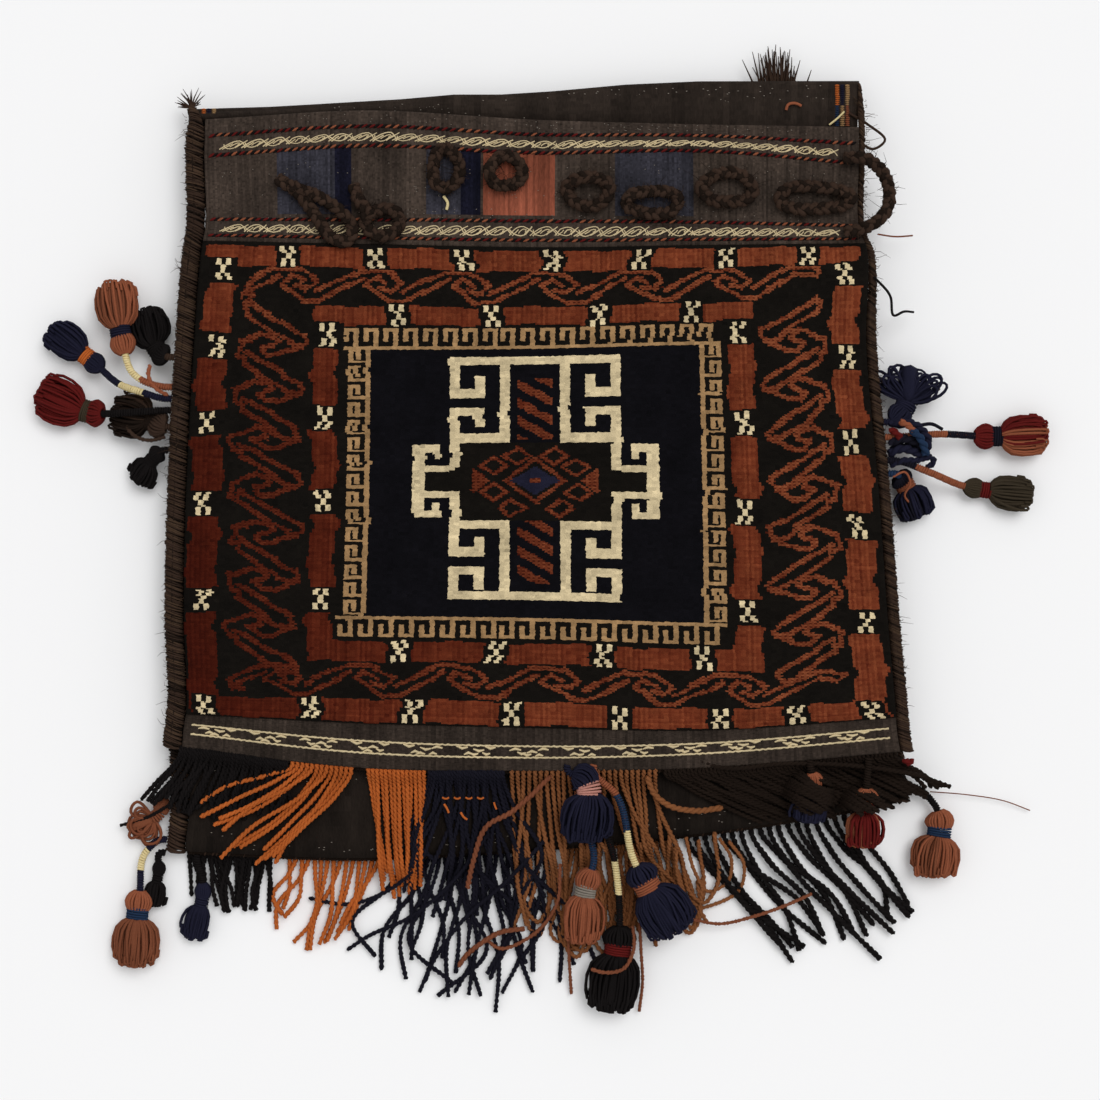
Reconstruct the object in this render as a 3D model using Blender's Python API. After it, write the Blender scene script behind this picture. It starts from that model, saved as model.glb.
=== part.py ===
"""Double saddle bag of knotted and flat woven wool, lying folded over at its bridge, one pouch on the other.

Metres, +Z up. The origin is on the surface that the bag lies on, under the middle of the upper pouch.
+Y points to the fold of the bridge and -Y to the fringed feet of the pouches.
"""

import math
from collections import namedtuple

import bmesh
import bpy
from mathutils import Matrix, Vector

MM = 0.001

# Thicknesses of the cloths and the hollows of the two pouches.
CLOTH = 2.6 * MM
FOUNDATION = 3.0 * MM
PILE = 2.4 * MM
RELIEF = 0.6 * MM
POCKET = 4.6 * MM
FOLD_GAP = 1.0 * MM
CLEARANCE = 0.3 * MM
SINK = 0.8 * MM

# Heights of the layers, counted up from the surface that the bag lies on.
LOWER_FACE_LOW = PILE
LOWER_FACE_HIGH = LOWER_FACE_LOW + FOUNDATION
LOWER_LEG_LOW = LOWER_FACE_HIGH + POCKET
LOWER_LEG_HIGH = LOWER_LEG_LOW + CLOTH
UPPER_LEG_LOW = LOWER_LEG_HIGH + FOLD_GAP
UPPER_LEG_HIGH = UPPER_LEG_LOW + CLOTH
FACE_LOW = UPPER_LEG_HIGH + POCKET
FACE_HIGH = FACE_LOW + FOUNDATION
PILE_TOP = FACE_HIGH + PILE
MOTIF_TOP = PILE_TOP + RELIEF

# The weaver's chart of a face: knots across, knot rows down from the top of the pile.
PILE_COLUMNS = 136
PILE_ROWS = 150
FIELD_LEFT = 36
FIELD_RIGHT = 100
FIELD_TOP = 33
FIELD_FOOT = 116
MOUTH_ROW = -41
FOOT_ROW = 163

# Where the chart lies on the finished face, in millimetres: x at the chart's left edge, at the field's
# two sides and at the right edge, then y at the left edge, in the middle and at the right edge.
Row = namedtuple("Row", "knot_row left field_left field_right right y_left y_middle y_right")
FACE_ROWS = (
    Row(MOUTH_ROW, -199, -95, 92, 193, 197, 201, 192),
    Row(-33, -200, -95, 92, 193, 182, 185, 178),
    Row(-6, -199, -95, 92, 194, 136, 130, 129),
    Row(0, -200, -95, 92, 196, 124, 121, 121),
    Row(FIELD_TOP, -205, -99, 97, 197, 59, 61, 59),
    Row(75, -210, -101, 98, 204, -20, -20, -23),
    Row(FIELD_FOOT, -211, -103, 100, 211, -98, -101, -107),
    Row(PILE_ROWS, -211, -98, 103, 215, -159, -166, -160),
    Row(157, -212, -98, 103, 216, -169, -181, -170),
    Row(FOOT_ROW, -213, -98, 103, 218, -181, -193, -182),
)

# The fold of the bridge, from left to right.
FOLD_LEFT = Vector((-200, 206)) * MM
FOLD_MIDDLE = Vector((0, 218)) * MM
FOLD_RIGHT = Vector((193, 223)) * MM

# The lower pouch is the same cloth, turned a little and slid towards the foot.
LOWER_TURN = math.radians(3.6)
LOWER_SHIFT = Vector((-6, -54)) * MM

BINDING_RADIUS = 6.3 * MM
UPPER_BINDING_Z = UPPER_LEG_LOW + BINDING_RADIUS + CLEARANCE
LOWER_BINDING_Z = BINDING_RADIUS + CLEARANCE
TUBE_RESOLUTION = 1
# How far the flat under side of a six-sided tube lies from its middle, as a share of its radius.
TUBE_FLAT = math.cos(math.pi / 6)
ROLL_PROUD = 0.2 * MM
SEAM_WIDTH = 5.0 * MM
LOOP_RADIUS = 3.8 * MM
STRAND_WIDTH = 3.0 * MM
STRAND_THICK = 2.6 * MM
HEADER_DEPTH = 2.5 * MM

# Yarns: base colour and roughness.
YARNS = {
    "goat_hair": (0.025, 0.016, 0.011),
    "brown_ground": (0.011, 0.006, 0.004),
    "navy": (0.008, 0.010, 0.028),
    "madder": (0.130, 0.030, 0.012),
    "ivory": (0.560, 0.440, 0.260),
    "gold": (0.400, 0.230, 0.090),
    "orange": (0.420, 0.110, 0.022),
    "camel": (0.190, 0.075, 0.035),
    "cherry": (0.120, 0.014, 0.012),
    "black": (0.008, 0.007, 0.007),
}
YARN_ROUGHNESS = 0.92


def material(name):
    """The matte wool of one yarn."""
    found = bpy.data.materials.get(name)
    if found:
        return found
    made = bpy.data.materials.new(name)
    made.use_nodes = True
    shader = made.node_tree.nodes["Principled BSDF"]
    shader.inputs["Base Color"].default_value = (*YARNS[name], 1.0)
    shader.inputs["Roughness"].default_value = YARN_ROUGHNESS
    shader.inputs["Metallic"].default_value = 0.0
    return made


def collection(name):
    made = bpy.data.collections.new(name)
    bpy.context.scene.collection.children.link(made)
    return made


def place(obj, group, yarn):
    group.objects.link(obj)
    obj.data.materials.clear()
    obj.data.materials.append(material(yarn))
    return obj


def between(rows, knot_row, field):
    """A value of the chart's rows at any knot row, on straight stretches between them."""
    at = [row.knot_row for row in rows]
    i = max(0, min(len(rows) - 2, sum(1 for v in at if v <= knot_row) - 1))
    share = (knot_row - at[i]) / (at[i + 1] - at[i])
    low, high = getattr(rows[i], field), getattr(rows[i + 1], field)
    return low + (high - low) * share


def woven(column, knot_row):
    """Where a place on the chart lies on the upper face."""
    columns = (0, FIELD_LEFT, FIELD_RIGHT, PILE_COLUMNS)
    xs = [between(FACE_ROWS, knot_row, name) for name in ("left", "field_left", "field_right", "right")]
    i = max(0, min(2, sum(1 for c in columns if c <= column) - 1))
    x = xs[i] + (xs[i + 1] - xs[i]) * (column - columns[i]) / (columns[i + 1] - columns[i])
    s = column / PILE_COLUMNS
    y = between(FACE_ROWS, knot_row, "y_left") * (1 - s) * (1 - 2 * s)
    y += between(FACE_ROWS, knot_row, "y_middle") * 4 * s * (1 - s)
    y += between(FACE_ROWS, knot_row, "y_right") * s * (2 * s - 1)
    return Vector((x, y)) * MM


def lowered(point):
    """The same place on the lower pouch."""
    return Matrix.Rotation(LOWER_TURN, 2) @ point + LOWER_SHIFT


EDGE_STEPS = 6


def chart_outline(top, foot, shift=0.0):
    """The outline of the cloth between two knot rows, its sides moved out by shift."""
    rows = [row.knot_row for row in FACE_ROWS if top < row.knot_row < foot]
    columns = [PILE_COLUMNS * i / EDGE_STEPS for i in range(EDGE_STEPS + 1)]
    out = Vector((shift, 0))
    points = [woven(c, top) for c in columns]
    points[0] = points[0] - out
    points[-1] = points[-1] + out
    points += [woven(PILE_COLUMNS, v) + out for v in rows]
    feet = [woven(c, foot) for c in reversed(columns)]
    feet[0] = feet[0] + out
    feet[-1] = feet[-1] - out
    points += feet
    points += [woven(0, v) - out for v in reversed(rows)]
    return points


def flat_plate(name, outlines, low, high):
    """A mesh plate between two heights, filled inside closed outlines of points."""
    curve = bpy.data.curves.new(name, "CURVE")
    curve.dimensions = "2D"
    curve.fill_mode = "BOTH"
    curve.extrude = (high - low) / 2
    for outline in outlines:
        spline = curve.splines.new("POLY")
        spline.points.add(len(outline) - 1)
        for point, at in zip(spline.points, outline):
            point.co = (at[0], at[1], 0, 1)
        spline.use_cyclic_u = True
    drawn = bpy.data.objects.new(name, curve)
    bpy.context.scene.collection.objects.link(drawn)
    bpy.context.view_layer.update()
    mesh = bpy.data.meshes.new_from_object(drawn.evaluated_get(bpy.context.evaluated_depsgraph_get()))
    bpy.data.objects.remove(drawn)
    bpy.data.curves.remove(curve)
    bm = bmesh.new()
    bm.from_mesh(mesh)
    bmesh.ops.remove_doubles(bm, verts=bm.verts, dist=0.00001)
    bmesh.ops.translate(bm, verts=bm.verts, vec=(0, 0, (low + high) / 2))
    bmesh.ops.recalc_face_normals(bm, faces=bm.faces)
    bm.to_mesh(mesh)
    bm.free()
    return bpy.data.objects.new(name, mesh)


def grid_plate(name, boxes, low, high):
    """A plate of the chart's right-angled figures: boxes are (left, right, top, foot) in knots and rows."""
    columns = sorted({c for box in boxes for c in box[:2]})
    rows = sorted({r for box in boxes for r in box[2:]})
    bm = bmesh.new()
    bmesh.ops.create_grid(bm, x_segments=len(columns) - 1, y_segments=len(rows) - 1, size=0.5)
    grid = sorted(bm.verts, key=lambda v: (round(v.co.y, 6), round(v.co.x, 6)))
    for i, vert in enumerate(grid):
        vert.co = (columns[i % len(columns)], rows[i // len(columns)], 0)
    empty = []
    for face in bm.faces:
        c = face.calc_center_median()
        if not any(b[0] < c.x < b[1] and b[2] < c.y < b[3] for b in boxes):
            empty.append(face)
    bmesh.ops.delete(bm, geom=empty, context="FACES")
    bmesh.ops.dissolve_limit(bm, angle_limit=0.01, verts=bm.verts, edges=bm.edges)
    raised = bmesh.ops.extrude_face_region(bm, geom=bm.faces[:], use_keep_orig=True)
    top = {v for v in raised["geom"] if isinstance(v, bmesh.types.BMVert)}
    for vert in bm.verts:
        at = woven(vert.co.x, vert.co.y)
        vert.co = (at.x, at.y, high if vert in top else low)
    bmesh.ops.recalc_face_normals(bm, faces=bm.faces)
    mesh = bpy.data.meshes.new(name)
    bm.to_mesh(mesh)
    bm.free()
    return bpy.data.objects.new(name, mesh)


def guide(obj, group, yarn):
    """A piece that only shapes another: left out of renders."""
    place(obj, group, yarn)
    obj.hide_render = True
    obj.display_type = "WIRE"
    return obj


def combine(target, other, operation="UNION"):
    modifier = target.modifiers.new(other.name, "BOOLEAN")
    modifier.operation = operation
    modifier.object = other
    modifier.solver = "EXACT"
    modifier.material_mode = "TRANSFER"


def box_on_chart(left, right, top, foot):
    return [woven(left, top), woven(right, top), woven(right, foot), woven(left, foot)]


def ribbon(points, half_width):
    """The outline of a band of even width along a run of chart points, its ends square."""
    path = [woven(*p) for p in points]
    left, right = [], []
    for i, at in enumerate(path):
        before = path[max(0, i - 1)]
        after = path[min(len(path) - 1, i + 1)]
        along = (after - before).normalized()
        side = Vector((-along.y, along.x)) * half_width
        left.append(at + side)
        right.append(at - side)
    return left + right[::-1]


# The block borders: the knots or rows where a white cross parts two madder blocks.
CROSS_REACH = 1.8
CROSS_CELL = 2.6
OUTER_TOP = (18, 35, 53, 71, 90, 107, 124)
OUTER_FOOT = (24, 43, 62.5, 83, 103, 117)
OUTER_LEFT = (9.5, 31, 55, 81, 112, 146)
OUTER_RIGHT = (9.5, 34, 62, 88, 118, 146)
INNER_TOP = (41, 60, 81.5, 100.5)
INNER_FOOT = (41, 60, 80.7, 100)
INNER_LEFT = (28.5, 54, 80, 111)
INNER_RIGHT = (28.5, 56, 84, 115)
ROW_SHARE = 1.62


def runs(start, stop, breaks, reach):
    """The stretches between the breaks, each break taking its reach on both sides."""
    ends = [start] + [b + side * reach for b in breaks for side in (-1, 1)] + [stop]
    return [(a, b) for a, b in zip(ends[::2], ends[1::2]) if b - a > reach]


def block_outlines():
    """Every madder block of the outer and the inner border."""
    reach_rows = CROSS_CELL * ROW_SHARE - 0.8
    found = [box_on_chart(a, b, 1, 6.6) for a, b in runs(2, 135, OUTER_TOP, CROSS_CELL)]
    found += [box_on_chart(a, b, 143.2, 149) for a, b in runs(6.5, 129, OUTER_FOOT, CROSS_CELL)]
    found += [box_on_chart(1.3, 7, a, b) for a, b in runs(9.5, 146, OUTER_LEFT, reach_rows)]
    found += [box_on_chart(129, 134.8, a, b) for a, b in runs(9.5, 146, OUTER_RIGHT, reach_rows)]
    found += [box_on_chart(a, b, 19, 25) for a, b in runs(25, 111.5, INNER_TOP, CROSS_CELL)]
    found += [box_on_chart(24.7, 30, a, b) for a, b in runs(28.5, 123.3, INNER_LEFT, reach_rows)]
    found += [box_on_chart(106.4, 112, a, b) for a, b in runs(28.5, 123.3, INNER_RIGHT, reach_rows)]
    found += [box_on_chart(a, b, 124.3, 130) for a, b in runs(24.7, 112, INNER_FOOT, CROSS_CELL)]
    return found


def cross_outline(column, knot_row):
    """A white cross that stands on its corners, drawn as a lozenge."""
    across, down = CROSS_REACH, CROSS_REACH * ROW_SHARE
    corners = ((-across, 0), (0, -down), (across, 0), (0, down))
    return [woven(column + c, knot_row + r) for c, r in corners]


def cross_outlines():
    places = [(c, 4) for c in OUTER_TOP] + [(c, 146) for c in OUTER_FOOT]
    places += [(4, r) for r in OUTER_LEFT] + [(132, r) for r in OUTER_RIGHT]
    places += [(c, 22) for c in INNER_TOP] + [(c, 127) for c in INNER_FOOT]
    places += [(27.4, r) for r in INNER_LEFT] + [(109.2, r) for r in INNER_RIGHT]
    return [cross_outline(*p) for p in places]


VINE_REPEATS_SIDE = 8
VINE_REPEATS_END = 7
VINE_TOP = 20
VINE_FOOT = 129
VINE_LEFT = 11
VINE_RIGHT = 125
VINE_BAR = 5.2 * MM
VINE_HOOK = 2.2 * MM


def vine_outlines():
    """The running vine between the borders: a slanting bar and its hooked return in each repeat."""
    found = []
    step = (VINE_FOOT - VINE_TOP) / VINE_REPEATS_SIDE
    for i in range(VINE_REPEATS_SIDE):
        top = VINE_TOP + i * step
        bar = [(10.5, top + 1), (21, top + step * 0.72)]
        hook = [(21, top + step * 0.9), (14, top + step * 1.02)]
        for mirror in (False, True):
            if mirror:
                bar = [(PILE_COLUMNS - c, r) for c, r in bar]
                hook = [(PILE_COLUMNS - c, r) for c, r in hook]
            found.append(ribbon(bar, VINE_BAR / 2))
            found.append(ribbon(hook, VINE_HOOK / 2))
    step = (VINE_RIGHT - VINE_LEFT) / VINE_REPEATS_END
    for i in range(VINE_REPEATS_END):
        left = VINE_LEFT + i * step
        for low, high in ((17, 10), (140.5, 133)):
            found.append(ribbon([(left, low), (left + step * 0.62, high)], VINE_BAR * 0.4))
            tail = [(left + step * 0.78, high), (left + step * 0.92, (low + high) / 2)]
            found.append(ribbon(tail, VINE_HOOK / 2))
    return found


KEY_PITCH = 6.4
KEY_ROW_PITCH = 10.3


def key_boxes():
    """The gold key border: a thin frame round the field, and an arch on it at each step."""
    left, right, top, foot = FIELD_LEFT, FIELD_RIGHT, FIELD_TOP, FIELD_FOOT
    boxes = [(left - 1, left, top - 1, foot + 1), (right, right + 1, top - 1, foot + 1)]
    boxes += [(left - 1, right + 1, top - 1, top), (left - 1, right + 1, foot, foot + 1)]
    for i in range(int((right - left) / KEY_PITCH)):
        c = left + i * KEY_PITCH
        far = c + KEY_PITCH - 1.6
        boxes += [(c, far, top - 6, top - 5), (far - 1, far, top - 5, top - 1)]
        boxes += [(c, far, foot + 5, foot + 6), (far - 1, far, foot + 1, foot + 5)]
    for i in range(int((foot - top) / KEY_ROW_PITCH)):
        r = top + i * KEY_ROW_PITCH
        far = r + KEY_ROW_PITCH - 2.4
        boxes += [(left - 5, left - 4, r, far), (left - 4, left - 1, far - 1, far)]
        boxes += [(right + 4, right + 5, r, far), (right + 1, right + 4, far - 1, far)]
    return boxes


MEDALLION_COLUMN = 68
MEDALLION_ROW = 74.5
# One quarter of the hooked cross, as (inner, outer, near, far) in knots and rows from its middle.
HOOKED_CROSS = (
    (0, 17, 35, 38),
    (15, 17, 26, 38),
    (10, 17, 26, 29),
    (10, 12, 26, 32),
    (5, 7, 12, 36),
    (10, 17, 20, 23),
    (10, 12, 17, 23),
    (15, 17, 3, 23),
    (5, 17, 12, 15),
    (15, 24, 3, 5),
    (22, 24, 0, 11),
    (19, 24, 8, 11),
    (19, 20.6, 6, 11),
)


def medallion_boxes():
    boxes = []
    for inner, outer, near, far in HOOKED_CROSS:
        for side in (-1, 1):
            for end in (-1, 1):
                columns = sorted((MEDALLION_COLUMN + side * inner, MEDALLION_COLUMN + side * outer))
                rows = sorted((MEDALLION_ROW + end * near, MEDALLION_ROW + end * far))
                boxes.append((*columns, *rows))
    return boxes


def heart_outlines():
    """The madder stripes in the cross's arms and the lozenge at its heart, with its navy eye left open."""
    c, r = MEDALLION_COLUMN, MEDALLION_ROW
    found = []
    for start in (-32, -26, -20, 14, 20, 26):
        stripe = [(c - 3.4, r + start), (c + 3.4, r + start + 4.5), (c + 3.4, r + start + 7), (c - 3.4, r + start + 2.5)]
        found.append([woven(*p) for p in stripe])
    rim = [(-12.5, 0), (-8, -7), (-2, -10), (4, -10), (9, -6), (12.5, 0), (8, 7), (2, 10), (-4, 10), (-9, 6)]
    eye = [(-5, 0), (0, -4), (5, 0), (0, 4)]
    found.append([woven(c + x, r + y) for x, y in rim])
    found.append([woven(c + x, r + y) for x, y in eye])
    return found


TWINE_WIDTH = 1.2 * MM
STRIPE_WIDTH = 4.0 * MM
# The brocaded stripes: middle row, and how many rows off it the twined lines round them run.
STRIPES = ((-33, 3.1), (-6, 3.0), (157, 2.6))
LINE_COLUMNS = (3, 35.5, 68, 100.5, 133)
# The tapestry blocks of the closure band, in knots, and the slits at their sides.
BLOCKS_NAVY = ((16, 29), (46, 57), (87, 99))
BLOCK_MADDER = (58, 72)
BAND_TOP = -27
BAND_FOOT = -11.5
SLITS = (15.5, 30, 45, 57.5, 73, 86, 100.5, 113)
SLIT_WIDTH = 1.4 * MM


def stripe_outlines():
    """The white band of each brocaded stripe."""
    return [ribbon([(c, row) for c in LINE_COLUMNS], STRIPE_WIDTH / 2) for row, _ in STRIPES]


def twine_outlines():
    """The twined lines above and below each stripe."""
    rows = [row + side * reach for row, reach in STRIPES for side in (-1, 1)]
    return [ribbon([(c, row) for c in LINE_COLUMNS], TWINE_WIDTH / 2) for row in rows]


def slit_outlines():
    found = []
    for column in SLITS:
        found.append(ribbon([(column, BAND_TOP), (column, BAND_FOOT)], SLIT_WIDTH / 2))
    return found


def make_upper_face(bag, guides):
    """The upper pouch's woven face: flat woven ends, knotted field, and the pattern in low relief."""
    face = place(flat_plate("upper_face", [chart_outline(MOUTH_ROW, FOOT_ROW)], FACE_LOW, FACE_HIGH), bag, "goat_hair")
    pile = flat_plate("pile", [chart_outline(0, PILE_ROWS, -SINK)], FACE_HIGH - SINK, PILE_TOP)
    combine(face, guide(pile, guides, "brown_ground"))
    low, high = PILE_TOP - SINK, MOTIF_TOP
    field = flat_plate("field", [box_on_chart(FIELD_LEFT + 0.5, FIELD_RIGHT - 0.5, FIELD_TOP + 0.5, FIELD_FOOT - 0.5)],
                       low, PILE_TOP + RELIEF / 2)
    combine(face, guide(field, guides, "navy"))
    combine(face, guide(flat_plate("blocks", block_outlines(), low, high), guides, "madder"))
    combine(face, guide(flat_plate("crosses", cross_outlines(), low, high), guides, "ivory"))
    combine(face, guide(flat_plate("vine", vine_outlines(), low, high), guides, "madder"))
    combine(face, guide(grid_plate("key_border", key_boxes(), low, high), guides, "gold"))
    combine(face, guide(grid_plate("hooked_cross", medallion_boxes(), low, high), guides, "ivory"))
    combine(face, guide(flat_plate("heart", heart_outlines(), low, high), guides, "madder"))
    low, high = FACE_HIGH - SINK, FACE_HIGH + RELIEF
    combine(face, guide(flat_plate("stripes", stripe_outlines(), low, high), guides, "ivory"))
    combine(face, guide(flat_plate("twining", twine_outlines(), low, high), guides, "madder"))
    navy = [box_on_chart(a, b, BAND_TOP + 1, BAND_FOOT - 1) for a, b in BLOCKS_NAVY]
    combine(face, guide(flat_plate("navy_blocks", navy, low, FACE_HIGH + RELIEF / 2), guides, "navy"))
    madder = [box_on_chart(*BLOCK_MADDER, BAND_TOP + 1, BAND_FOOT - 1)]
    combine(face, guide(flat_plate("madder_block", madder, low, FACE_HIGH + RELIEF / 2), guides, "cherry"))
    slits = flat_plate("slits", slit_outlines(), FACE_LOW - SINK, high + SINK)
    combine(face, guide(slits, guides, "goat_hair"), "DIFFERENCE")
    return face


def make_lower_face(bag, guides):
    """The lower pouch's face, its pile down on the surface that the bag lies on."""
    outline = [lowered(p) for p in chart_outline(MOUTH_ROW, FOOT_ROW)]
    face = place(flat_plate("lower_face", [outline], LOWER_FACE_LOW, LOWER_FACE_HIGH), bag, "goat_hair")
    outline = [lowered(p) for p in chart_outline(0, PILE_ROWS, -SINK)]
    combine(face, guide(flat_plate("lower_pile", [outline], 0, LOWER_FACE_LOW + SINK), guides, "brown_ground"))
    return face


def fold_points(count):
    """Points along the fold of the bridge, on a parabola through its two ends and its middle."""
    points = []
    for i in range(count):
        s = i / (count - 1)
        a, b, c = (1 - s) * (1 - 2 * s), 4 * s * (1 - s), s * (2 * s - 1)
        points.append(FOLD_LEFT * a + FOLD_MIDDLE * b + FOLD_RIGHT * c)
    return points


def smooth_path(points, count):
    """Count points evenly spread on a smooth curve through the given ones."""
    ends = [points[0] * 2 - points[1], *points, points[-1] * 2 - points[-2]]
    made = []
    for i in range(count):
        t = i / (count - 1) * (len(points) - 1)
        k = min(int(t), len(points) - 2)
        f = t - k
        a, b, c, d = ends[k : k + 4]
        made.append(
            0.5 * (2 * b + (c - a) * f + (2 * a - 5 * b + 4 * c - d) * f**2 + (3 * b - a - 3 * c + d) * f**3)
        )
    return made


def tube(name, points, radius, radii=()):
    """A closed round tube along points, as a mesh object; radii vary it from point to point."""
    curve = bpy.data.curves.new(name, "CURVE")
    curve.dimensions = "3D"
    curve.bevel_depth = radius
    curve.bevel_resolution = TUBE_RESOLUTION
    curve.use_fill_caps = True
    spline = curve.splines.new("POLY")
    spline.points.add(len(points) - 1)
    for point, at in zip(spline.points, points):
        point.co = (*at, 1)
    for point, share in zip(spline.points, radii):
        point.radius = share
    drawn = bpy.data.objects.new(name, curve)
    bpy.context.scene.collection.objects.link(drawn)
    bpy.context.view_layer.update()
    mesh = bpy.data.meshes.new_from_object(drawn.evaluated_get(bpy.context.evaluated_depsgraph_get()))
    bpy.data.objects.remove(drawn)
    bpy.data.curves.remove(curve)
    bm = bmesh.new()
    bm.from_mesh(mesh)
    bmesh.ops.remove_doubles(bm, verts=bm.verts, dist=0.00001)
    bmesh.ops.recalc_face_normals(bm, faces=bm.faces)
    bm.to_mesh(mesh)
    bm.free()
    mesh.shade_smooth()
    mesh.set_sharp_from_angle(angle=math.radians(50))
    return bpy.data.objects.new(name, mesh)


def make_saddle_cloth(bag, guides):
    """The one long cloth that backs both pouches and bridges them, folded over itself at the top."""
    fold = fold_points(5)
    around = chart_outline(MOUTH_ROW, FOOT_ROW)
    upper = around[EDGE_STEPS:] + around[:1]
    lower = [lowered(p) for p in upper]
    cloth = place(flat_plate("saddle_cloth", [fold + upper], UPPER_LEG_LOW, UPPER_LEG_HIGH), bag, "goat_hair")
    combine(cloth, guide(flat_plate("lower_leg", [fold + lower], LOWER_LEG_LOW, LOWER_LEG_HIGH), guides, "goat_hair"))
    radius = CLOTH + FOLD_GAP / 2 + ROLL_PROUD
    middle = LOWER_LEG_HIGH + FOLD_GAP / 2
    roll = [Vector((p.x, p.y, middle)) for p in fold_points(9)]
    combine(cloth, guide(tube("fold_roll", roll, radius), guides, "goat_hair"))
    return cloth


def side_path(column, z, lower):
    """The line of a side binding, just outside the cloths' edge from the mouth to the foot."""
    side = 1 if column else -1
    out = Vector((side * (BINDING_RADIUS + CLEARANCE), 0))
    flat = [woven(column, row.knot_row) + out for row in FACE_ROWS]
    if lower:
        flat = [lowered(p) for p in flat]
    return [Vector((p.x, p.y, z)) for p in flat]


def make_bindings(bag):
    for lower, z in ((False, UPPER_BINDING_Z), (True, LOWER_BINDING_Z)):
        for column, side in ((0, "left"), (PILE_COLUMNS, "right")):
            name = f"{'lower' if lower else 'upper'}_{side}_binding"
            place(tube(name, side_path(column, z, lower), BINDING_RADIUS), bag, "goat_hair")


def make_foot_seams(bag):
    """The sewn foot of each pouch, between its face and its back."""
    rows_deep = SEAM_WIDTH / (2.0 * MM)
    outline = chart_outline(FOOT_ROW - rows_deep, FOOT_ROW)
    upper = flat_plate("upper_foot_seam", [outline], UPPER_LEG_HIGH + CLEARANCE, FACE_LOW - CLEARANCE)
    place(upper, bag, "goat_hair")
    outline = [lowered(p) for p in outline]
    lower = flat_plate("lower_foot_seam", [outline], LOWER_FACE_HIGH + CLEARANCE, LOWER_LEG_LOW - CLEARANCE)
    place(lower, bag, "goat_hair")


# The braided closure loops: points along each in millimetres, with the rise over the closure band.
LOOPS = (
    ((-153, 162, 0), (-142, 158, 0), (-126, 149, 0), (-114, 138, 0), (-112, 129, 0), (-120, 126, 0),
     (-130, 133, 0), (-141, 141, 0), (-151, 146, 0)),
    ((-108, 164, 0), (-99, 156, 0), (-87, 148, 0), (-81, 138, 0), (-84, 129, 0), (-93, 127, 0),
     (-102, 133, 0), (-107, 142, 0)),
    ((-66, 152, 0), (-66, 168, 0), (-62, 180, 0), (-53, 183, 0), (-47, 175, 0), (-50, 161, 0), (-56, 152, 0)),
    ((-32, 160, 0), (-27, 172, 0), (-17, 177, 0), (-7, 172, 0), (-5, 161, 0), (-13, 154, 0), (-22, 153, 0)),
    ((14, 166, 0), (24, 167, 0), (36, 162, 0), (41, 153, 0), (34, 146, 0), (23, 147, 0), (14, 154, 0)),
    ((48, 156, 0), (58, 152, 0), (69, 154, 0), (79, 156, 0), (84, 150, 0), (79, 142, 0), (67, 139, 0), (54, 142, 0)),
    ((95, 150, 0), (97, 163, 0), (109, 171, 0), (123, 168, 0), (128, 159, 0), (121, 151, 0), (109, 148, 0)),
    ((140, 152, 0), (147, 160, 0), (160, 162, 0), (175, 158, 0), (182, 150, 0), (178, 142, 0), (164, 139, 0),
     (148, 142, 0)),
    ((184, 174, 0), (195, 174, 4), (207, 168, 4), (214, 157, 2), (214, 146, 2), (207, 137, 4), (195, 132, 4),
     (184, 130, 0)),
)
LOOP_STEPS = 11


def make_loops(bag):
    """The loops lie on the closure band; the last one leans out over the right binding."""
    z = FACE_HIGH + RELIEF + CLEARANCE / 2 + LOOP_RADIUS * TUBE_FLAT
    for i, route in enumerate(LOOPS):
        points = [Vector((x * MM, y * MM, z + rise * MM)) for x, y, rise in route]
        place(tube(f"closure_loop_{i + 1}", smooth_path(points, LOOP_STEPS), LOOP_RADIUS), bag, "goat_hair")


# A fan of fringe: the stretch of foot edge that its strands leave, in knots, and the stretch that their
# ends reach, in millimetres, with how far down they go at its left, middle and right.
Fan = namedtuple("Fan", "name yarn count start stop end_left end_right drop_left drop_middle drop_right lift")
UPPER_FANS = (
    Fan("upper_fringe_black_left", "black", 6, 1, 20, -214, -152, 30, 34, 30, 0),
    Fan("upper_fringe_orange_left", "orange", 5, 21.5, 33, -196, -158, 28, 52, 62, 1),
    Fan("upper_fringe_orange_right", "orange", 4, 39, 46, -85, -66, 74, 80, 72, 0),
    Fan("upper_fringe_navy", "navy", 5, 47.5, 62, -58, -14, 62, 96, 80, 0),
    Fan("upper_fringe_camel", "camel", 6, 64, 92, -8, 92, 92, 112, 78, 0),
    Fan("upper_fringe_black_right", "black", 7, 94, 135, 100, 226, 43, 38, 29, 0),
)
LOWER_FANS = (
    Fan("lower_fringe_black_left", "black", 4, 2, 16, -200, -166, 26, 36, 32, 0),
    Fan("lower_fringe_orange", "orange", 4, 20, 38, -152, -104, 34, 52, 40, 0),
    Fan("lower_fringe_navy", "navy", 5, 42, 72, -92, 8, 56, 96, 74, 0),
    Fan("lower_fringe_camel", "camel", 5, 75, 96, 16, 92, 50, 66, 44, 0),
    Fan("lower_fringe_black_right", "black", 5, 98, 130, 98, 206, 62, 70, 58, 0),
)
LAID_HEIGHT = 0.5 * MM
SAG_LENGTH = 9 * MM
EDGE_LENGTH = 3 * MM
STEP_LENGTH = 14 * MM


def foot_line(place_on_cloth, x):
    """The y of the foot edge of a pouch at a given x."""
    points = [place_on_cloth(woven(PILE_COLUMNS * i / 12, FOOT_ROW)) for i in range(13)]
    i = max(0, min(11, sum(1 for p in points if p.x <= x) - 1))
    a, b = points[i], points[i + 1]
    share = max(0.0, min(1.0, (x - a.x) / (b.x - a.x)))
    return a.y + (b.y - a.y) * share


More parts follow.
